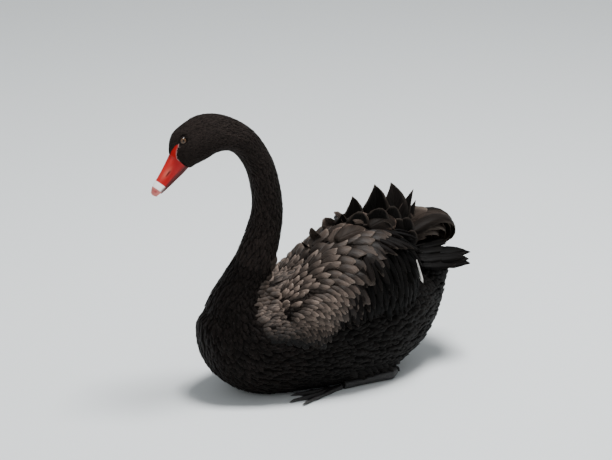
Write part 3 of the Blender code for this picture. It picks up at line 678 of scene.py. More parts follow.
def plumage(name, roughness, sheen, gloss, barb_depth, base_dusk_and_shade):
    """A feather's finish, read from its own Vane map and the Tone and Rim colours.

    Dusk is how much darker the vane is at its base than at the tip: partly the down's own dusky
    colour and partly painted shade where the next feather lies over it.
    """
    material, tree, shader = new_material(name, roughness, {
        "Sheen Weight": sheen, "Sheen Roughness": 0.45,
        "Sheen Tint": (*linear("#B9B2AC"), 1.0), "Specular IOR Level": gloss})
    vane = add_node(tree, "UVMap", {"uv_map": "Vane"})
    tone = add_node(tree, "Attribute", {"attribute_name": "Tone"})
    rim = add_node(tree, "Attribute", {"attribute_name": "Rim"})
    split = add_node(tree, "SeparateXYZ", links={"Vector": vane})
    across, along = (split, "X"), (split, "Y")
    out = add_node(tree, "Math", {"operation": "MULTIPLY_ADD", 1: 2.0, 2: -1.0}, {0: across})
    out = add_node(tree, "Math", {"operation": "ABSOLUTE"}, {0: out})
    soft = {"interpolation_type": "SMOOTHSTEP"}
    side = add_node(tree, "MapRange", {**soft, "From Min": 0.66, "From Max": 1.0},
                    {"Value": out})
    tip = add_node(tree, "MapRange", {**soft, "From Min": 0.86, "From Max": 1.04},
                   {"Value": along})
    late = add_node(tree, "MapRange", {"From Min": 0.25, "From Max": 0.75}, {"Value": along})
    side = add_node(tree, "Math", {"operation": "MULTIPLY"}, {0: side, 1: late})
    mask = add_node(tree, "Math", {"operation": "MAXIMUM"}, {0: side, 1: tip})
    mask = add_node(tree, "Math", {"operation": "MULTIPLY"}, {0: mask, 1: (rim, "Alpha")})
    slant = add_node(tree, "Math", {"operation": "MULTIPLY_ADD", 1: -0.45}, {0: out, 2: along})
    lines = add_node(tree, "CombineXYZ", links={"X": slant, "Y": out, "Z": (tone, "Fac")})
    stretch = add_node(tree, "Mapping", {"Scale": (BARBS, 1.2, 190.0)}, {"Vector": lines})
    barbs = add_node(tree, "TexNoise", {"Scale": 1.0, "Detail": 2.0}, {"Vector": stretch})
    streak = add_node(tree, "MapRange", {"From Min": 0.3, "From Max": 0.7, "To Min": 0.62,
                                         "To Max": 1.35}, {"Value": barbs})
    # the vane darkens towards its base: its dusky down and painted shade under the next feather
    base = add_node(tree, "MapRange", {"From Min": 0.45, "From Max": 0.88,
                                       "To Min": 1.0 - base_dusk_and_shade}, {"Value": along})
    streak = add_node(tree, "Math", {"operation": "MULTIPLY"}, {0: streak, 1: base})
    blend = add_node(tree, "Mix", {"data_type": "RGBA"}, {0: mask, 6: tone, 7: rim})
    shade = add_node(tree, "VectorMath", {"operation": "SCALE"},
                     {0: (blend, 2), "Scale": streak})
    quill = add_node(tree, "MapRange", {**soft, "From Min": 0.10, "From Max": 0.03},
                     {"Value": out})
    ridge = add_node(tree, "Math", {"operation": "ADD"}, {0: barbs, 1: quill})
    bump = add_node(tree, "Bump", {"Strength": 0.5, "Distance": barb_depth}, {"Height": ridge})
    plug(tree, shader, {"Base Color": shade, "Normal": bump})
    return material


velvet = plumage("velvety_head_feathers", 0.66, 0.03, 0.06, 0.0003, 0.3)
contour = plumage("contour_feathers", 0.60, 0.02, 0.05, 0.0005, 0.5)
EYE_CLEAR = 0.0088     # no feathers grow this close to the middle of the eye
# Longest feathers of head, neck and breast
HEAD_LONGEST, NECK_LONGEST, BREAST_LONGEST = 0.0064, 0.0122, 0.0152


def open_skin(points):
    """Where feathers grow: not on the lores, the eyes or the base of the bill."""
    eye = np.linalg.norm(points * (1, 0, 1) + np.abs(points) * (0, 1, 0) - EYE_AT, axis=1)
    bill = (points[:, 0] + 0.256) * -0.640 + (points[:, 2] - 0.424) * -0.768 > -0.0005
    return (lore_share(points)[0] < 0.4) & (eye > EYE_CLEAR) & ~bill


def long_between(points, low, high):
    length = lie_of(points)[1]
    return (length >= low) & (length < high)


lay_coat("coat_head", lambda p: open_skin(p) & long_between(p, 0.0, HEAD_LONGEST),
         0.10, 1.9, "head_plumage", velvet, 0.52)
lay_coat("coat_neck", lambda p: long_between(p, HEAD_LONGEST, NECK_LONGEST),
         0.10, 1.5, "head_plumage", velvet, 0.50)
lay_coat("coat_breast", lambda p: long_between(p, NECK_LONGEST, BREAST_LONGEST),
         0.11, 0.75, "body_plumage", contour)
for side, name in ((-1, "left"), (1, "right")):
    lay_coat("coat_body_" + name,
             lambda p: long_between(p, BREAST_LONGEST, 1.0) & (p[:, 1] * side >= 0.0),
             0.12, 0.6, "body_plumage", contour)


# Scapulars: small arched feathers in close rows over the shoulder, each standing a
# little off the next. Near the ridge they are round, curled and pale at the worn rim.
RIM_GREY = linear("#9A8B7F")
SHADE_BROWN = linear("#1D1816")
ROOT_DEPTH = 0.003              # how far a free vane starts inside what it grows from


def sprout(name, roots, along, out, length, width, curl, camber, tip, tone, rim, finish,
           bend=(0.0, 0.0, 0.0), start=0.45, rows=8, columns=5, slot="wing_plumage", fray=0.05,
           cling=False, ease=1.5):
    """Free vanes that turn by curl and drift by bend over their length.

    Each narrows from its start to an end that is as blunt as its tip says. Where they
    cling, they are kept above the skin by as much as their edges fall.
    """
    count = len(roots)
    roots, along, out = (np.array(a, float) for a in (roots, along, out))
    length, width, curl, camber, tip = (np.broadcast_to(np.asarray(a, float), count).copy()
                                        for a in (length, width, curl, camber, tip))
    along /= np.linalg.norm(along, axis=1)[:, None]
    out -= along * np.sum(along * out, axis=1)[:, None]
    out /= np.linalg.norm(out, axis=1)[:, None]
    bend = np.broadcast_to(np.asarray(bend, float), (count, 3))
    steps = np.linspace(0.0, 1.0, rows)
    centre, normal = np.zeros((2, count, rows, 3))
    spot = roots - along * ROOT_DEPTH
    for r, t in enumerate(steps):
        if r:
            angle = curl * ((t + steps[r - 1]) / 2) ** ease
            spot = spot + (along * np.cos(angle)[:, None] + out * np.sin(angle)[:, None]) * (
                length * (t - steps[r - 1]))[:, None]
        angle = curl * t ** ease
        centre[:, r] = spot + bend * (length * t * t)[:, None]
        normal[:, r] = out * np.cos(angle)[:, None] - along * np.sin(angle)[:, None]
    if cling:
        fall = 0.0008 + 0.42 * camber * width
        for i in range(count):
            for r in range(rows):
                spot, up, face, far = skin_tree.find_nearest(Vector(centre[i, r]))
                high = (Vector(centre[i, r]) - spot).dot(up)
                lowest = fall[i] * min(1.0, 0.35 + 1.5 * steps[r])
                if high < lowest:
                    centre[i, r] += np.array(up) * (lowest - high)
    centre[..., 2] = np.maximum(centre[..., 2], 0.001)
    side = np.cross(np.gradient(centre, axis=1), normal)
    side /= np.linalg.norm(side, axis=2)[..., None]
    swell = np.minimum(1.0, 0.42 + 1.6 * steps)[None]
    close = np.clip((steps[None] - start) / (1.0 - start), 0.0, 1.0)
    end = 1.0 - (1.0 - tip[:, None] * 0.30) * close ** (1.4 + 2.6 * tip[:, None])
    half = 0.5 * width[:, None] * swell * end
    half *= 1.0 + rng.normal(0.0, fray, half.shape) * (steps[None] > 0.2)
    thick = (0.0002 + 0.012 * width)[:, None] * (1.0 - 0.7 * steps)
    weave(name, roots, centre, side, normal, half, thick, camber, tone, rim, finish, slot,
          columns)


def always(*values):
    """A rule that gives the same values at every point."""
    return lambda points: np.tile(values, (len(points), 1))


def rank_roots(wanted, way_of, pitch_of):
    """Roots in close ranks: farther apart along the way of the feathers than across it."""
    pitch = pitch_of(face_middle)
    weight = face_area * wanted(face_middle) / (pitch[:, 0] * pitch[:, 1])
    pick = rng.choice(len(face_area), size=int(7 * weight.sum()), p=weight / weight.sum())
    places = face_middle[pick] + rng.uniform(-0.5, 0.5, (len(pick), 3)) * SKIN_VOXEL
    kept, outs, goes = np.zeros((0, 3)), [], []
    for place, way, (along, across) in zip(places, way_of(places), pitch_of(places)):
        spot, up, face, far = skin_tree.find_nearest(Vector(place))
        go = Vector(way)
        go = (go - up * go.dot(up)).normalized()
        if len(kept):
            apart = kept - np.array(spot)
            forth = apart @ np.array(go)
            aside = np.sum(apart ** 2, axis=1) - forth ** 2
            if np.any((forth / along) ** 2 + aside / across ** 2 < 1.0):
                continue
        kept = np.vstack([kept, np.array(spot)])
        outs.append(np.array(up))
        goes.append(np.array(go))
    return kept, np.array(goes), np.array(outs)


# The rows of scapulars run as wide arcs round the lower front corner of the shoulder
ARC_AT = (-0.125, 0.080)
ARC_POWER = 3.0
# Size of an arc and the gap to the next one there
ROW_REACH = (0.030, 0.100, 0.140, 0.168)
ROW_GAP = (0.0042, 0.0062, 0.0084, 0.0110)
ROW_STEP = 1.6                  # from one root to the next in a row, in row gaps
FIRST_ROW, LAST_ROW = 0.014, 0.195
ROW_FRONT = -0.160              # x where each row starts


def row_gap(reach):
    return np.interp(reach, ROW_REACH, ROW_GAP)


def arc_offset(points):
    """How far behind and above the corner of the arcs each point is."""
    return (np.clip(points[:, 0] - ARC_AT[0], 0.0, None),
            np.clip(even_height(points) - ARC_AT[1], 0.004, None))


def rank_pitch(points):
    behind, above = arc_offset(points)
    gap = row_gap((behind ** ARC_POWER + above ** ARC_POWER) ** (1 / ARC_POWER))
    return np.stack([ROW_STEP * gap, gap], axis=1)


def flow(points):
    """The way of the scapulars, along the arcs: to the rear in front, then down."""
    behind, above = (off ** (ARC_POWER - 1) for off in arc_offset(points))
    size = np.hypot(behind, above)
    return np.stack([above / size, 0 * size, -behind / size], axis=1)


GRID = 0.003            # cell of the map of a side's outline, and how far hollows are bridged
BRIDGE_CELLS = 11
BRIDGE_ROUND = 0.060
BRIDGE_MOST = 0.022
NECK_FROM = 0.19        # above this height, what is nearer the middle than below is the neck
NECK_WIDE = 0.038
TOP_SLOPE = 1.0         # rows end where the top of the wing turns flatter than this


def shoulder_map(side):
    """How far out one side of the skin reaches, with hollows under the feathers bridged."""
    xs = np.arange(-0.180, 0.090, GRID)
    zs = np.arange(0.070, 0.295, GRID)
    bare = np.full((len(xs), len(zs)), -0.05)
    for i, x in enumerate(xs):
        for j, z in enumerate(zs):
            spot = skin_tree.ray_cast(Vector((x, side * 0.3, z)), Vector((0, -side, 0)))[0]
            if spot is not None:
                bare[i, j] = spot.y * side
    reach = bare
    edge = BRIDGE_CELLS
    for sign in (1, -1):
        wide = np.pad(reach * sign, edge, mode="edge")
        best = np.full(reach.shape, -1.0)
        for i in range(-edge, edge + 1):
            for j in range(-edge, edge + 1):
                fall = (i * i + j * j) * GRID ** 2 / (2 * BRIDGE_ROUND)
                best = np.maximum(best, wide[edge + i:edge + i + len(xs),
                                             edge + j:edge + j + len(zs)] - fall)
        reach = best * sign
    return xs, zs, bare, reach


def row_roots(side):
    """Roots in rows on the outer side of a wing, each row half a step on from the last."""
    xs, zs, bare, reach_out = shoulder_map(side)
    slope_x, slope_z = np.gradient(reach_out, GRID)
    roots, ups = [], []
    reach, half_step = FIRST_ROW, 0
    while reach < LAST_ROW:
        gap = float(row_gap(reach))
        turn = np.linspace(0.0, math.pi / 2, 200)
        line = np.stack([ARC_AT[0] + reach * np.sin(turn) ** (2 / ARC_POWER),
                         ARC_AT[1] + reach * np.cos(turn) ** (2 / ARC_POWER)], axis=1)
        line = np.vstack([(ROW_FRONT, ARC_AT[1] + reach), line])
        run = np.concatenate([[0.0], np.cumsum(np.linalg.norm(np.diff(line, axis=0), axis=1))])
        marks = np.arange(0.5 * ROW_STEP * gap * half_step, run[-1], ROW_STEP * gap)
        marks += rng.uniform(-0.28, 0.28, len(marks)) * gap
        for mark in marks:
            x, high = (np.interp(mark, run, line[:, k]) for k in (0, 1))
            high += rng.normal(0.0, 0.08) * gap
            z = high
            # the true height under an even height is found in a few rounds
            for again in range(8):
                z = high - (even_height(np.array([(x, side, z)]))[0] - z)
            i = int(np.clip(round((x - xs[0]) / GRID), 0, len(xs) - 1))
            j = int(np.clip(round((z - zs[0]) / GRID), 0, len(zs) - 1))
            if (bare[i, j] > (NECK_WIDE if z > NECK_FROM else 0.0)
                    and reach_out[i, j] - bare[i, j] < BRIDGE_MOST
                    and -slope_z[i, j] < TOP_SLOPE):
                roots.append((x, side * reach_out[i, j], z))
                ups.append((-slope_x[i, j], side, -slope_z[i, j]))
        reach += gap
        half_step = 1 - half_step
    ups = np.array(ups)
    return np.array(roots), ups / np.linalg.norm(ups, axis=1)[:, None]


MANTLE_LOW = 0.112
ROOT_SINK = 0.001       # how deep a root sits in the skin
shoulder = plumage("scapular_feathers", 0.50, 0.04, 0.12, 0.0007, 0.72)
for side, name in ((-1, "left"), (1, "right")):
    def wanted(points):
        front, rear = mantle_zone(points)
        return ((front > 0) & (rear > 0) & (points[:, 1] * side > 0.004)
                & (points[:, 2] > MANTLE_LOW))

    def inner(points):
        ridge = read_table(WING, points[:, 0])[0]
        level = (points[:, 1] * side < ridge) | (face_up[:, 2] > 0.70)
        return (wanted(points) & level & (face_up[:, 0] < 0.60)).astype(float)

    roots, up = row_roots(side)
    kept = wanted(roots)
    roots, up = roots[kept], up[kept]
    way = flow(roots)
    way -= up * np.sum(way * up, axis=1)[:, None]
    way /= np.linalg.norm(way, axis=1)[:, None]
    more_roots, more_way, more_up = rank_roots(inner, flow, rank_pitch)
    roots = np.vstack([roots, more_roots])
    way = np.vstack([way, more_way])
    up = np.vstack([up, more_up])
    count = len(roots)
    front, rear = mantle_zone(roots)
    high = even_height(roots)
    late = np.clip(1.0 - rear / 0.040, 0.0, 1.0)
    low = np.clip((0.162 - roots[:, 2]) / 0.045, 0.0, 1.0)
    top = np.clip((high - 0.175) / 0.060, 0.0, 1.0)
    round_ = np.clip((high - 0.215) / 0.030, 0.0, 1.0)
    way += np.cross(up, way) * rng.normal(0.0, 0.07, (count, 1))
    rise = np.clip(front / 0.03, 0.5, 1.0) * (15 + 5 * top - 4 * low) + rng.normal(0, 2.5, count)
    rise = np.radians(rise)[:, None]
    size = rank_pitch(roots)
    length = size[:, 0] * 2.35 * rng.uniform(0.88, 1.12, count)
    width = size[:, 1] * (1.80 + 0.60 * round_) * rng.uniform(0.9, 1.1, count)
    curl = -(0.75 + 0.45 * top) * rng.uniform(0.7, 1.3, count)
    camber = (0.66 - 0.30 * round_) * rng.uniform(0.85, 1.15, count)
    camber *= np.clip(front / 0.020, 0.7, 1.0) * (1 - 0.35 * low)
    bend = np.stack([0 * top, 0 * top, -0.08 + rng.normal(0, 0.04, count)], axis=1)
    dark = np.maximum(late * (1 - 0.35 * top), low)
    shade = paint(np.tile(SHADE_BROWN, (count, 1)), 0.4 * FLANK_BROWN, low)
    # The brown is painted darker towards the top of the shoulder: painted shade that evens out
    # the stronger light falling there
    tone = paint((1.60 - 0.75 * top)[:, None] * BACK_BROWN, shade, dark)
    tone *= rng.uniform(0.65, 1.3, (count, 1))
    worn = rng.uniform(0.25, 0.8, count) * (1 - 0.9 * dark) * (1 - 0.8 * low)
    rim = np.column_stack([RIM_GREY * rng.uniform(0.6, 1.1, (count, 1)), worn])
    sprout("scapulars_" + name, roots - up * ROOT_SINK, way * np.cos(rise) + up * np.sin(rise),
           up, length, width, curl, camber, 0.95, tone, rim, shoulder, bend, start=0.60,
           columns=7, cling=True)


# Crest: the long inner feathers of both wings, lifted over the back. Each ends in a dark
# point that stands up along the ridge, with shorter ones crowded at its foot.
# For each point: x and z of its tip, how far it reaches, how broad it is and how it leans
CREST_LEFT = [
    (0.064, 0.300, 0.052, 0.036, -0.15),
    (0.098, 0.304, 0.052, 0.040, -0.15),
    (0.128, 0.300, 0.060, 0.040, -0.15),
    (0.150, 0.280, 0.062, 0.034, -0.15),
]
CREST_RIGHT = [
    (0.067, 0.277, 0.034, 0.024, -0.30),
    (0.093, 0.303, 0.060, 0.042, -0.30),
    (0.132, 0.322, 0.080, 0.056, -0.34),
    (0.170, 0.318, 0.090, 0.056, -0.34),
    (0.206, 0.296, 0.090, 0.030, 0.20),
]
CREST_DARK = linear("#1C1816")
# Each point and the shorter ones at its foot: shift in x and z, share of reach and breadth
CREST_FOOT = ((0, 0, 1, 1), (0.008, -0.022, 0.80, 0.90), (-0.010, -0.032, 0.72, 0.80))
strap = plumage("flight_feathers", 0.55, 0.01, 0.05, 0.0008, 0.4)
# For each side also: how much lower its points are, tone, rim, bluntness and start of the tip
for side, name, crest, lower, shade, pale, blunt, start in (
        (-1, "left", CREST_LEFT, 0.008, 0.6, 0.16, 0.50, 0.45),
        (1, "right", CREST_RIGHT, 0.0, 1.0, 0.30, 0.02, 0.30)):
    vanes = []
    for i, (x, z, reach, broad, lean) in enumerate(crest):
        for shift, drop, small, slim in CREST_FOOT:
            run = reach * small
            tip = Vector((x + shift, side * (0.030 + 0.010 * (i % 2) + 0.25 * abs(drop)),
                          z + drop - lower))
            root = Vector((x + shift - (0.20 + 0.5 * (lean + 0.15)) * run, side * 0.036,
                           z + drop - 0.96 * run))
            drift = Vector((lean, 0.0, 0.0))
            vanes.append((root, tip - root - drift * run, (0.30 * side, side, 0.20), run,
                          broad * slim * rng.uniform(0.9, 1.1), drift))
    roots, along, out, length, width, bend = zip(*vanes)
    count = len(roots)
    tone = CREST_DARK * rng.uniform(0.35, 1.0, (count, 1)) * shade
    rim = np.column_stack([np.tile(RIM_GREY * pale, (count, 1)), rng.uniform(0.2, 0.7, count)])
    sprout("crest_" + name, roots, along, out, length, width, 0.12, 0.22, blunt, tone, rim,
           strap, bend, start, rows=12, columns=7, fray=0.03)


# Ruffle: a few scapulars of the right wing are lifted forward and show over the back,
# beyond the ridge of the left wing. They are the same brown vanes as on the shoulder.
# For each: x, y and z of its root, way, length, width, bluntness and tone
RUFFLE = [
    ((0.042, 0.046, 0.222), (-0.75, 0.10, 0.66), 0.040, 0.026, 0.9, 0.9),
    ((0.064, 0.046, 0.232), (-0.62, 0.10, 0.78), 0.040, 0.026, 0.9, 0.6),
    ((0.078, 0.042, 0.240), (-0.45, 0.10, 0.88), 0.040, 0.024, 0.8, 0.4),
    ((0.016, 0.040, 0.212), (-0.92, 0.00, 0.62), 0.034, 0.010, 0.1, 0.1),
]
roots, way, length, width, blunt, shade = zip(*RUFFLE)
count = len(roots)
sprout("ruffle_right", roots, way, [(-0.6, 0.2, 0.8)] * count, length, width, 0.3, 0.5, blunt,
       BACK_BROWN * np.array(shade)[:, None], np.tile((*(RIM_GREY * 0.6), 0.5), (count, 1)),
       shoulder)


# Tertials: a few broad brown feathers lie over the foot of the crest and curl down, with
# light catching their worn rims.
# For each: root, way, length, width, curl, and how light it is
TERTIALS = [
    ((0.016, 0.046, 0.258), (1.0, 0.12, 0.46), 0.080, 0.042, -1.00, 0.42),
    ((0.006, 0.036, 0.254), (1.0, 0.05, 0.60), 0.056, 0.030, -0.90, 0.75),
    ((0.056, 0.032, 0.280), (1.0, 0.05, 0.45), 0.040, 0.024, -0.80, 0.95),
    ((0.078, 0.044, 0.270), (1.0, 0.10, 0.50), 0.066, 0.040, -1.00, 0.16),
    ((0.046, 0.060, 0.252), (1.0, 0.12, 0.30), 0.072, 0.038, -0.90, 0.12),
]
for side, name in ((-1, "left"), (1, "right")):
    places, ways, length, width, curl, shade = zip(*TERTIALS)
    count = len(places)
    mirror = np.array((1, side, 1))
    drop = [0.020 + 0.030 * max(0.0, (0.09 - x) / 0.09) if side > 0 else 0.0
            for x, y, z in places]
    roots = places * mirror - np.outer(drop, (0, 0, 1))
    rim = np.column_stack([np.tile(RIM_GREY * (1.15, 0.98, 0.92), (count, 1)),
                           rng.uniform(0.55, 0.95, count)])
    sprout("tertials_" + name, roots, ways * mirror, [(-0.10, side * 0.75, 0.65)] * count,
           length, width, curl, 0.55, 0.95, BACK_BROWN * np.array(shade)[:, None], rim, strap,
           (0.0, 0.0, -0.16), rows=14, columns=9, fray=0.02)


# Curtain: long near-black straps that hang over the rear end of each wing, from the
# ridge down to the flank, with browner ones next to the scapulars.
CURTAIN_BLACK = linear("#100E0D")
CURTAIN_REAR = 0.170
CURTAIN_FOOT = 0.150
WHITE_AT = (0.140, 0.225)       # behind this and below it the white feathers stay free
for side, name in ((-1, "left"), (1, "right")):
    def wanted(points):
        x, y, z = points.T
        gap = (x > WHITE_AT[0]) & (z < WHITE_AT[1])
        return ((mantle_zone(points)[1] < 0.006) & (x < CURTAIN_REAR) & (y * side > 0.006)
                & (even_height(points) > CURTAIN_FOOT) & ~gap).astype(float)

    roots, way, up = rank_roots(wanted, always(0.16, 0.0, -1.0), always(0.0150, 0.0085))
    count = len(roots)
    flat = up[:, 2] > 0.80
    way[flat] = way[flat] * 0.5 + np.array((0.6, side * 0.5, 0.0))
    rise = np.radians(rng.uniform(10, 20, (count, 1)))
    high = np.clip((even_height(roots) - CURTAIN_FOOT) / 0.10, 0, 1)
    length = (0.026 + 0.028 * high) * rng.uniform(0.8, 1.2, count)
    near = np.clip(1 + mantle_zone(roots)[1] / 0.030, 0, 1)
    tone = paint(np.tile(CURTAIN_BLACK, (count, 1)), SHADE_BROWN, near)
    tone *= rng.uniform(0.2, 0.8, (count, 1))
    rim = np.column_stack([RIM_GREY * (0.04 + 0.26 * near[:, None]),
                           rng.uniform(0.1, 0.8, count)])
    sprout("curtain_" + name, roots - up * ROOT_SINK, way * np.cos(rise) + up * np.sin(rise),
           up, length, 0.0155 * rng.uniform(0.75, 1.2, count),
           -0.45 - rng.uniform(0, 0.3, count), 0.75, 0.55, tone, rim, strap,
           (0.0, 0.0, -0.10), rows=9, cling=True)


# Fringe: soft flank feathers that hang over the folded legs, so that the tarsus goes in
# under the bird's side. They are loose dark vanes like the rest of the belly.
for side, name in ((-1, "left"), (1, "right")):
    def wanted(points):
        x, y, z = points.T
        return ((x > 0.000) & (x < 0.106) & (z > 0.008) & (z < 0.046)
                & (y * side > 0.035)).astype(float)

    roots, way, up = rank_roots(wanted, always(0.80, 0.0, -0.60), always(0.0120, 0.0090))
    count = len(roots)
    rise = np.radians(rng.uniform(14, 32, (count, 1)))
    tone = BELLY_DARK * rng.uniform(0.8, 1.6, (count, 1))
    rim = np.column_stack([tone * 2.0, rng.uniform(0.2, 0.7, count)])
    sprout("fringe_" + name, roots - up * ROOT_SINK, way * np.cos(rise) + up * np.sin(rise),
           up, rng.uniform(0.026, 0.036, count), rng.uniform(0.011, 0.016, count), -0.5, 0.4,
           0.5, tone, rim, contour, (0.0, 0.0, -0.12), slot="body_plumage")


# Lobe: broad feathers behind the right wing that curl over in a round bunch. They are
# laid in arches one inside the next, and upright vanes close the hood between them.
# For each arch: y and z of its root, how far it reaches and how far it turns
LOBE = [
    (0.028, 0.208, 0.200, -3.50),
    (0.048, 0.208, 0.202, -3.50),
    (0.064, 0.200, 0.188, -3.40),
    (0.044, 0.202, 0.150, -3.00),
]
LOBE_X = 0.150
LOBE_SIDES = 13
vanes = []
for y, z, reach, turn in LOBE:
    for shift in (-0.009, 0.0, 0.009):
        for back in (1.0, 0.84, 0.68, 0.52):
            vanes.append(((LOBE_X - 0.010 * (1 - back), y + shift, z - 0.02 * (1 - back)),
                          (0.87, 0.06 + 3 * shift, 0.48), (0, (y + shift - 0.030) * 12, 1),
                          reach * back * rng.uniform(0.95, 1.02),
                          0.040 * rng.uniform(0.85, 1.1),
                          turn * back * rng.uniform(0.95, 1.03), (0, 0, 0)))
for i in range(LOBE_SIDES):
    share = i / (LOBE_SIDES - 1)
    vanes.append(((LOBE_X, 0.024 + 0.012 * (i % 3), 0.225 - 0.030 * share),
                  (1.0, 0.10, 0.62 - 0.55 * share), (-0.25, -1, 0.25), 0.138 - 0.020 * share,
                  0.050, -0.15, (0, 0, -0.58 + 0.44 * share)))
roots, along, out, length, width, curl, bend = zip(*vanes)
count = len(roots)
tone = BACK_BROWN * rng.uniform(0.12, 0.5, (count, 1))
rim = np.column_stack([RIM_GREY * rng.uniform(0.4, 0.8, (count, 1)),
                       rng.uniform(0.5, 0.9, count)])
sprout("lobe_right", roots, along, out, length, width, curl, 0.45, 0.9, tone, rim, strap, bend,
       rows=16, ease=3.0)


# White flight feathers: the tips of the primaries show as a narrow white streak under
# the rear end of each folded wing, a few slim vanes side by side.
WHITE = linear("#E9E6E0")
WHITE_LENGTHS = (0.044, 0.046, 0.043, 0.040)
for side, name in ((-1, "left"), (1, "right")):
    count = len(WHITE_LENGTHS)
    roots = [(0.1445 + 0.0016 * i, side * (0.0870 - 0.0030 * i), 0.2110 - 0.0020 * i)
             for i in range(count)]
    along = [(0.33, -side * 0.02 * i, -1.0 - 0.04 * i) for i in range(count)]
    tone = WHITE * rng.uniform(0.85, 1.0, (count, 1))
    sprout("primaries_" + name, roots, along, [(0.5, side, 0.1)] * count, WHITE_LENGTHS,
           0.0052, 0.0, 0.2, 0.3, tone, np.tile((*WHITE, 0.3), (count, 1)), strap, start=0.75)


# Tail: a short fan of dark feathers that droops a little in its middle. Coverts lie over
# and under its roots and close it against the rump.
TAIL_FEATHERS = 15
TAIL_COVERTS = 54
TAIL_SPREAD = math.radians(24)
TAIL_LENGTH = 0.094
TAIL_X = 0.208
TAIL_Z = 0.194
vanes = []
for place in np.linspace(-1.0, 1.0, TAIL_FEATHERS):
    turn = TAIL_SPREAD * place
    vanes.append(((TAIL_X, 0.022 * place, TAIL_Z - 0.006 * abs(place)),
                  (math.cos(turn), math.sin(turn), -0.40 + 0.24 * abs(place)),
                  (0, 0.9 * place, 1),
                  TAIL_LENGTH * (1 - 0.18 * abs(place)) * rng.uniform(0.94, 1.0), 0.026,
                  (0, 0, 0)))
for i in range(TAIL_COVERTS):
    place = rng.uniform(-1, 1)
    above = i % 3 > 0
    vanes.append(((0.176 + rng.uniform(0.0, 0.036), (0.046 if above else 0.036) * place,
                   (0.203 - 0.020 * place ** 2) if above else 0.165),
                  (1, 0.25 * place, rng.uniform(0.08, 0.20) if above else -0.25),
                  (0, 0.7 * place, 1 if above else -1),
                  (0.070 if above else 0.050) * rng.uniform(0.75, 1.1), 0.024,
                  (0, 0, -0.14 if above else -0.10)))
roots, along, out, length, width, bend = zip(*vanes)
count = len(roots)
tone = CURTAIN_BLACK * rng.uniform(0.3, 0.8, (count, 1))
rim = np.column_stack([np.tile(RIM_GREY * 0.10, (count, 1)), rng.uniform(0.2, 0.5, count)])
sprout("tail_fan", roots, along, out, length, width, -0.12, 0.2, 0.3, tone, rim, strap, bend)


# Bill: hard red horn with a white band and a paler nail at its tip; the nostril is a slit in a
# shallow groove, and the lower mandible is dark maroon, its own red darkened by painted shade
# under the upper one.
# Along the bill: distance, culmen height, edge of the mouth, underside, half width
BILL = np.array([
    (-0.0020, 0.0172, -0.0128, -0.0220, 0.0128),
    (0.0120, 0.0145, -0.0114, -0.0200, 0.0122),
    (0.0260, 0.0122, -0.0096, -0.0170, 0.0110),
    (0.0400, 0.0104, -0.0074, -0.0138, 0.0106),
    (0.0520, 0.0090, -0.0054, -0.0102, 0.0110),
    (0.0610, 0.0076, -0.0042, -0.0074, 0.0096),
    (0.0660, 0.0056, -0.0042, -0.0052, 0.0066),
])
BILL_TIP = 0.0700
LOWER_TIP = 0.0605
TIP_UP = -0.001                         # height of the very tip
BILL_SIDES = 72
MOUTH_GAP = 0.0003
NOSTRIL = (0.0275, 0.0036)              # the way along the bill and up
NOSTRIL_HALF = (0.0056, 0.0011)         # its half length and half height
BAND = (0.0468, 0.0575)                 # where the white band starts and ends


def smooth_rows(rows, count):
    """Rows of a table at even steps of its first column, on a smooth curve."""
    slope = np.gradient(rows, rows[:, 0], axis=0)
    found = []
    for value in np.linspace(rows[0, 0], rows[-1, 0], count):
        i = min(int(np.searchsorted(rows[:, 0], value, side="right")) - 1, len(rows) - 2)
        gap = rows[i + 1, 0] - rows[i, 0]
        t = (value - rows[i, 0]) / gap
        found.append((2 * t ** 3 - 3 * t ** 2 + 1) * rows[i]
                     + (t ** 3 - 2 * t ** 2 + t) * gap * slope[i]
                     + (3 * t ** 2 - 2 * t ** 3) * rows[i + 1]
                     + (t ** 3 - t ** 2) * gap * slope[i + 1])
    return np.array(found)


def blot(along, up, at, reach, power=2):
    """1 at a place on the side of the bill, and towards 0 beyond its reach."""
    return np.exp(-((along - at[0]) / reach[0]) ** power - ((up - at[1]) / reach[1]) ** 2)


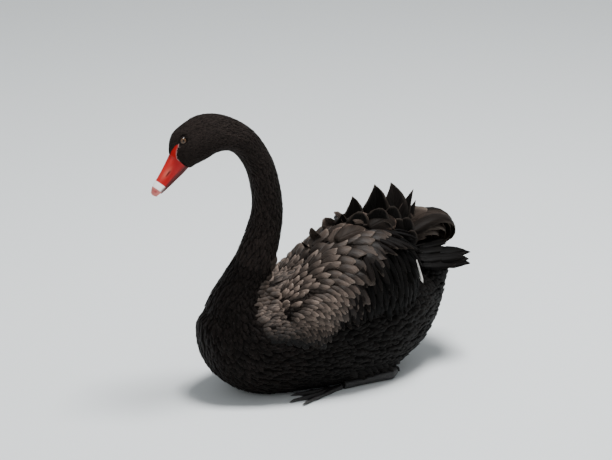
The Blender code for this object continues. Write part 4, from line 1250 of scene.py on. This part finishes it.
horn = grained("bill_horn", 0.38, 0.28, 420.0, 0.20, 0.0003)
for name in ("upper", "lower"):
    rings = []
    rows = smooth_rows(BILL, 120)
    if name == "lower":
        rows = rows[rows[:, 0] < LOWER_TIP]
    else:
        # the nail rounds off over the tip
        ends = []
        for t in np.linspace(0.10, 0.97, 10):
            last = rows[-1].copy()
            shrink = math.sqrt(1 - t * t)
            last[0] += (BILL_TIP - last[0]) * t
            last[1:3] = TIP_UP + (last[1:3] - TIP_UP) * shrink
            last[4] *= shrink
            ends.append(last)
        rows = np.vstack([rows, ends])
    for along, culmen, mouth, under, width in rows:
        ring = []
        for k in range(BILL_SIDES):
            y, z = superellipse(2 * math.pi * k / BILL_SIDES, 2.2 if name == "upper" else 3.0)
            if name == "lower":
                lip = mouth - MOUTH_GAP
                up = lip + (lip - under) * z if z < 0 else lip
                out = 0.985 * width * y
            else:
                up = mouth + (culmen - mouth) * z if z > 0 else mouth + 0.0008 * z
                out = width * y
                # a groove round the nostril, and the slit itself
                if z > 0:
                    out -= math.copysign(0.0009 * blot(along, up, NOSTRIL, (0.011, 0.0030))
                                         + 0.0016 * blot(along, up, NOSTRIL, NOSTRIL_HALF, 4),
                                         out)
            ring.append(BILL_BASE + BILL_WAY * along + BILL_UP * up + np.array((0, out, 0)))
        rings.append(ring)
    piece = ring_form("bill_horn_" + name, rings)
    place = read_mesh(piece)[0]
    # the lower mandible is dark maroon: its own red with painted shade under the upper bill
    tone = np.tile(linear("#A20A10" if name == "upper" else "#4C1614"), (len(place), 1))
    if name == "upper":
        along = (place - BILL_BASE) @ BILL_WAY
        up = (place - BILL_BASE) @ BILL_UP
        above_mouth = up - np.interp(along, BILL[:, 0], BILL[:, 2])
        # painted light on the top, bare skin at the base, a painted highlight above the nostril
        # and painted shade in its slit, nail, white band, painted shade along the edge of the
        # mouth, and a blot on the nail
        for code, share in (
                # painted light: the top of the bill is lighter red where light falls from above
                ("#BC1C18", np.clip((up - 0.004) / 0.008, 0, 1)),
                ("#A81A1B", np.clip(1 - along / 0.007, 0, 1)),
                # painted highlight: salmon light on the ridge above the nostril
                ("#E0705C", 0.6 * blot(along, up, (NOSTRIL[0], 0.0060), (0.010, 0.0030))),
                # painted shade: the dark inside of the nostril's slit
                ("#4A1210", blot(along, up, NOSTRIL, NOSTRIL_HALF, 4)),
                ("#C9746C", np.clip((along - BAND[1]) / 0.0016, 0, 1)),
                ("#FFFAF6", np.clip((along - BAND[0]) / 0.0012, 0, 1)
                 * np.clip((BAND[1] - along) / 0.0012 + 1, 0, 1)),
                # painted shade: the shaded side of the lower mandible, painted as a dark strip
                # along the upper bill's edge
                ("#4A0C10", 0.85 * np.clip((0.0036 - above_mouth) / 0.0012, 0, 1)
                 * (along < BAND[1])),
                ("#B0343C", 0.8 * blot(along, up, (0.0625, 0.0035), (0.0022, 0.0022)))):
            tone = paint(tone, linear(code), share)
    set_colours(piece.data, "Tone", tone)
    fit(piece, horn, "bill_horn" if name == "upper" else "bill_under_horn", "bill_" + name)


# Eyes: a wet amber-brown globe with a black pupil, set in a ring of dark lid. The globe
# is smooth and glossy like glass, and the lids lie round it where it leaves the head.
GLOBE = 0.0070
PUPIL = 0.0015
IRIS = 0.0050
LID = (0.0060, 0.0011)          # radius of the ring of lid and of its rim
LID_OUT = 0.0042


def settle(name):
    """The primitive just added, with its place and turn taken into its mesh."""
    piece = bpy.context.object
    piece.name = name
    piece.data.transform(piece.matrix_world)
    piece.matrix_world.identity()
    return piece


for side, name in ((-1, "left"), (1, "right")):
    at = Vector((EYE_AT.x, side * EYE_AT.y, EYE_AT.z))
    facing = Vector((-0.30, side, 0.22)).normalized()
    bpy.ops.mesh.primitive_uv_sphere_add(segments=40, ring_count=24, radius=GLOBE, location=at)
    globe = settle("globe_" + name)
    glass, tree, shader = new_material("wet_eye_" + name, 0.10, {"Specular IOR Level": 0.4})
    spot = add_node(tree, "TexCoord")
    dist = add_node(tree, "VectorMath", {"operation": "DISTANCE", 1: tuple(at + facing * GLOBE)},
                    {0: (spot, "Object")})
    stretch = add_node(tree, "MapRange", {"From Max": GLOBE}, {"Value": (dist, "Value")})
    ramp = add_node(tree, "ValToRGB", links={0: stretch})
    stops = ((0.0, "#050404"), (PUPIL / GLOBE - 0.02, "#050404"),
             (PUPIL / GLOBE + 0.02, "#43301F"), (0.55, "#4E3927"), (IRIS / GLOBE, "#2A1D13"),
             (IRIS / GLOBE + 0.08, "#120A08"))
    while len(ramp.color_ramp.elements) < len(stops):
        ramp.color_ramp.elements.new(0.5)
    for element, (place, code) in zip(ramp.color_ramp.elements, stops):
        element.position = place
        element.color = (*linear(code), 1.0)
    plug(tree, shader, {"Base Color": ramp})
    fit(globe, glass, "eye_glass", "eye_" + name)

    bpy.ops.mesh.primitive_torus_add(major_segments=48, minor_segments=12, major_radius=LID[0],
                                     minor_radius=LID[1], location=at + facing * LID_OUT,
                                     rotation=facing.to_track_quat("Z", "Y").to_euler())
    rind, tree, shader = new_material("lid_skin_" + name, 0.6, {
        "Specular IOR Level": 0.1, "Base Color": (*linear("#17110F"), 1.0)})
    fit(settle("lids_" + name), rind, "head_plumage")


# Legs and feet: dark grey scaly skin over the tarsus, toes and webs, folded by the belly.
# The hard forms of each leg and foot are fused and rounded off, and creased with scales.
SCUTE = 0.0026
FOOT_VOXEL = 0.0009
FOOT_ROUNDS = 34
scales, tree, shader = new_material("scaly_leg_skin", 0.55)
spot = add_node(tree, "TexCoord")
cells = add_node(tree, "TexVoronoi", {"Scale": 1 / SCUTE, "Randomness": 0.75},
                 {"Vector": (spot, "Object")})
ramp = add_node(tree, "ValToRGB", links={0: cells})
for element, code in zip(ramp.color_ramp.elements, ("#1F1D1D", "#090808")):
    element.color = (*linear(code), 1.0)
bump = add_node(tree, "Bump", {"Strength": 0.9, "Distance": 0.0009, "invert": True},
                {"Height": cells})
plug(tree, shader, {"Base Color": ramp, "Normal": bump})
for side in ("left", "right"):
    solids = ("leg_" + side, "foot_" + side)
    parts = [merged_copy(name) for name in solids]
    for piece in parts:
        edit_all(piece, bpy.ops.mesh.normals_make_consistent, inside=False)
    # the toe root reaches into the tarsus, so that both fuse into one
    limb = fuse("scaly_limb_" + side, parts, FOOT_VOXEL, FOOT_ROUNDS)
    fit(limb, scales, "leg_skin", *solids)
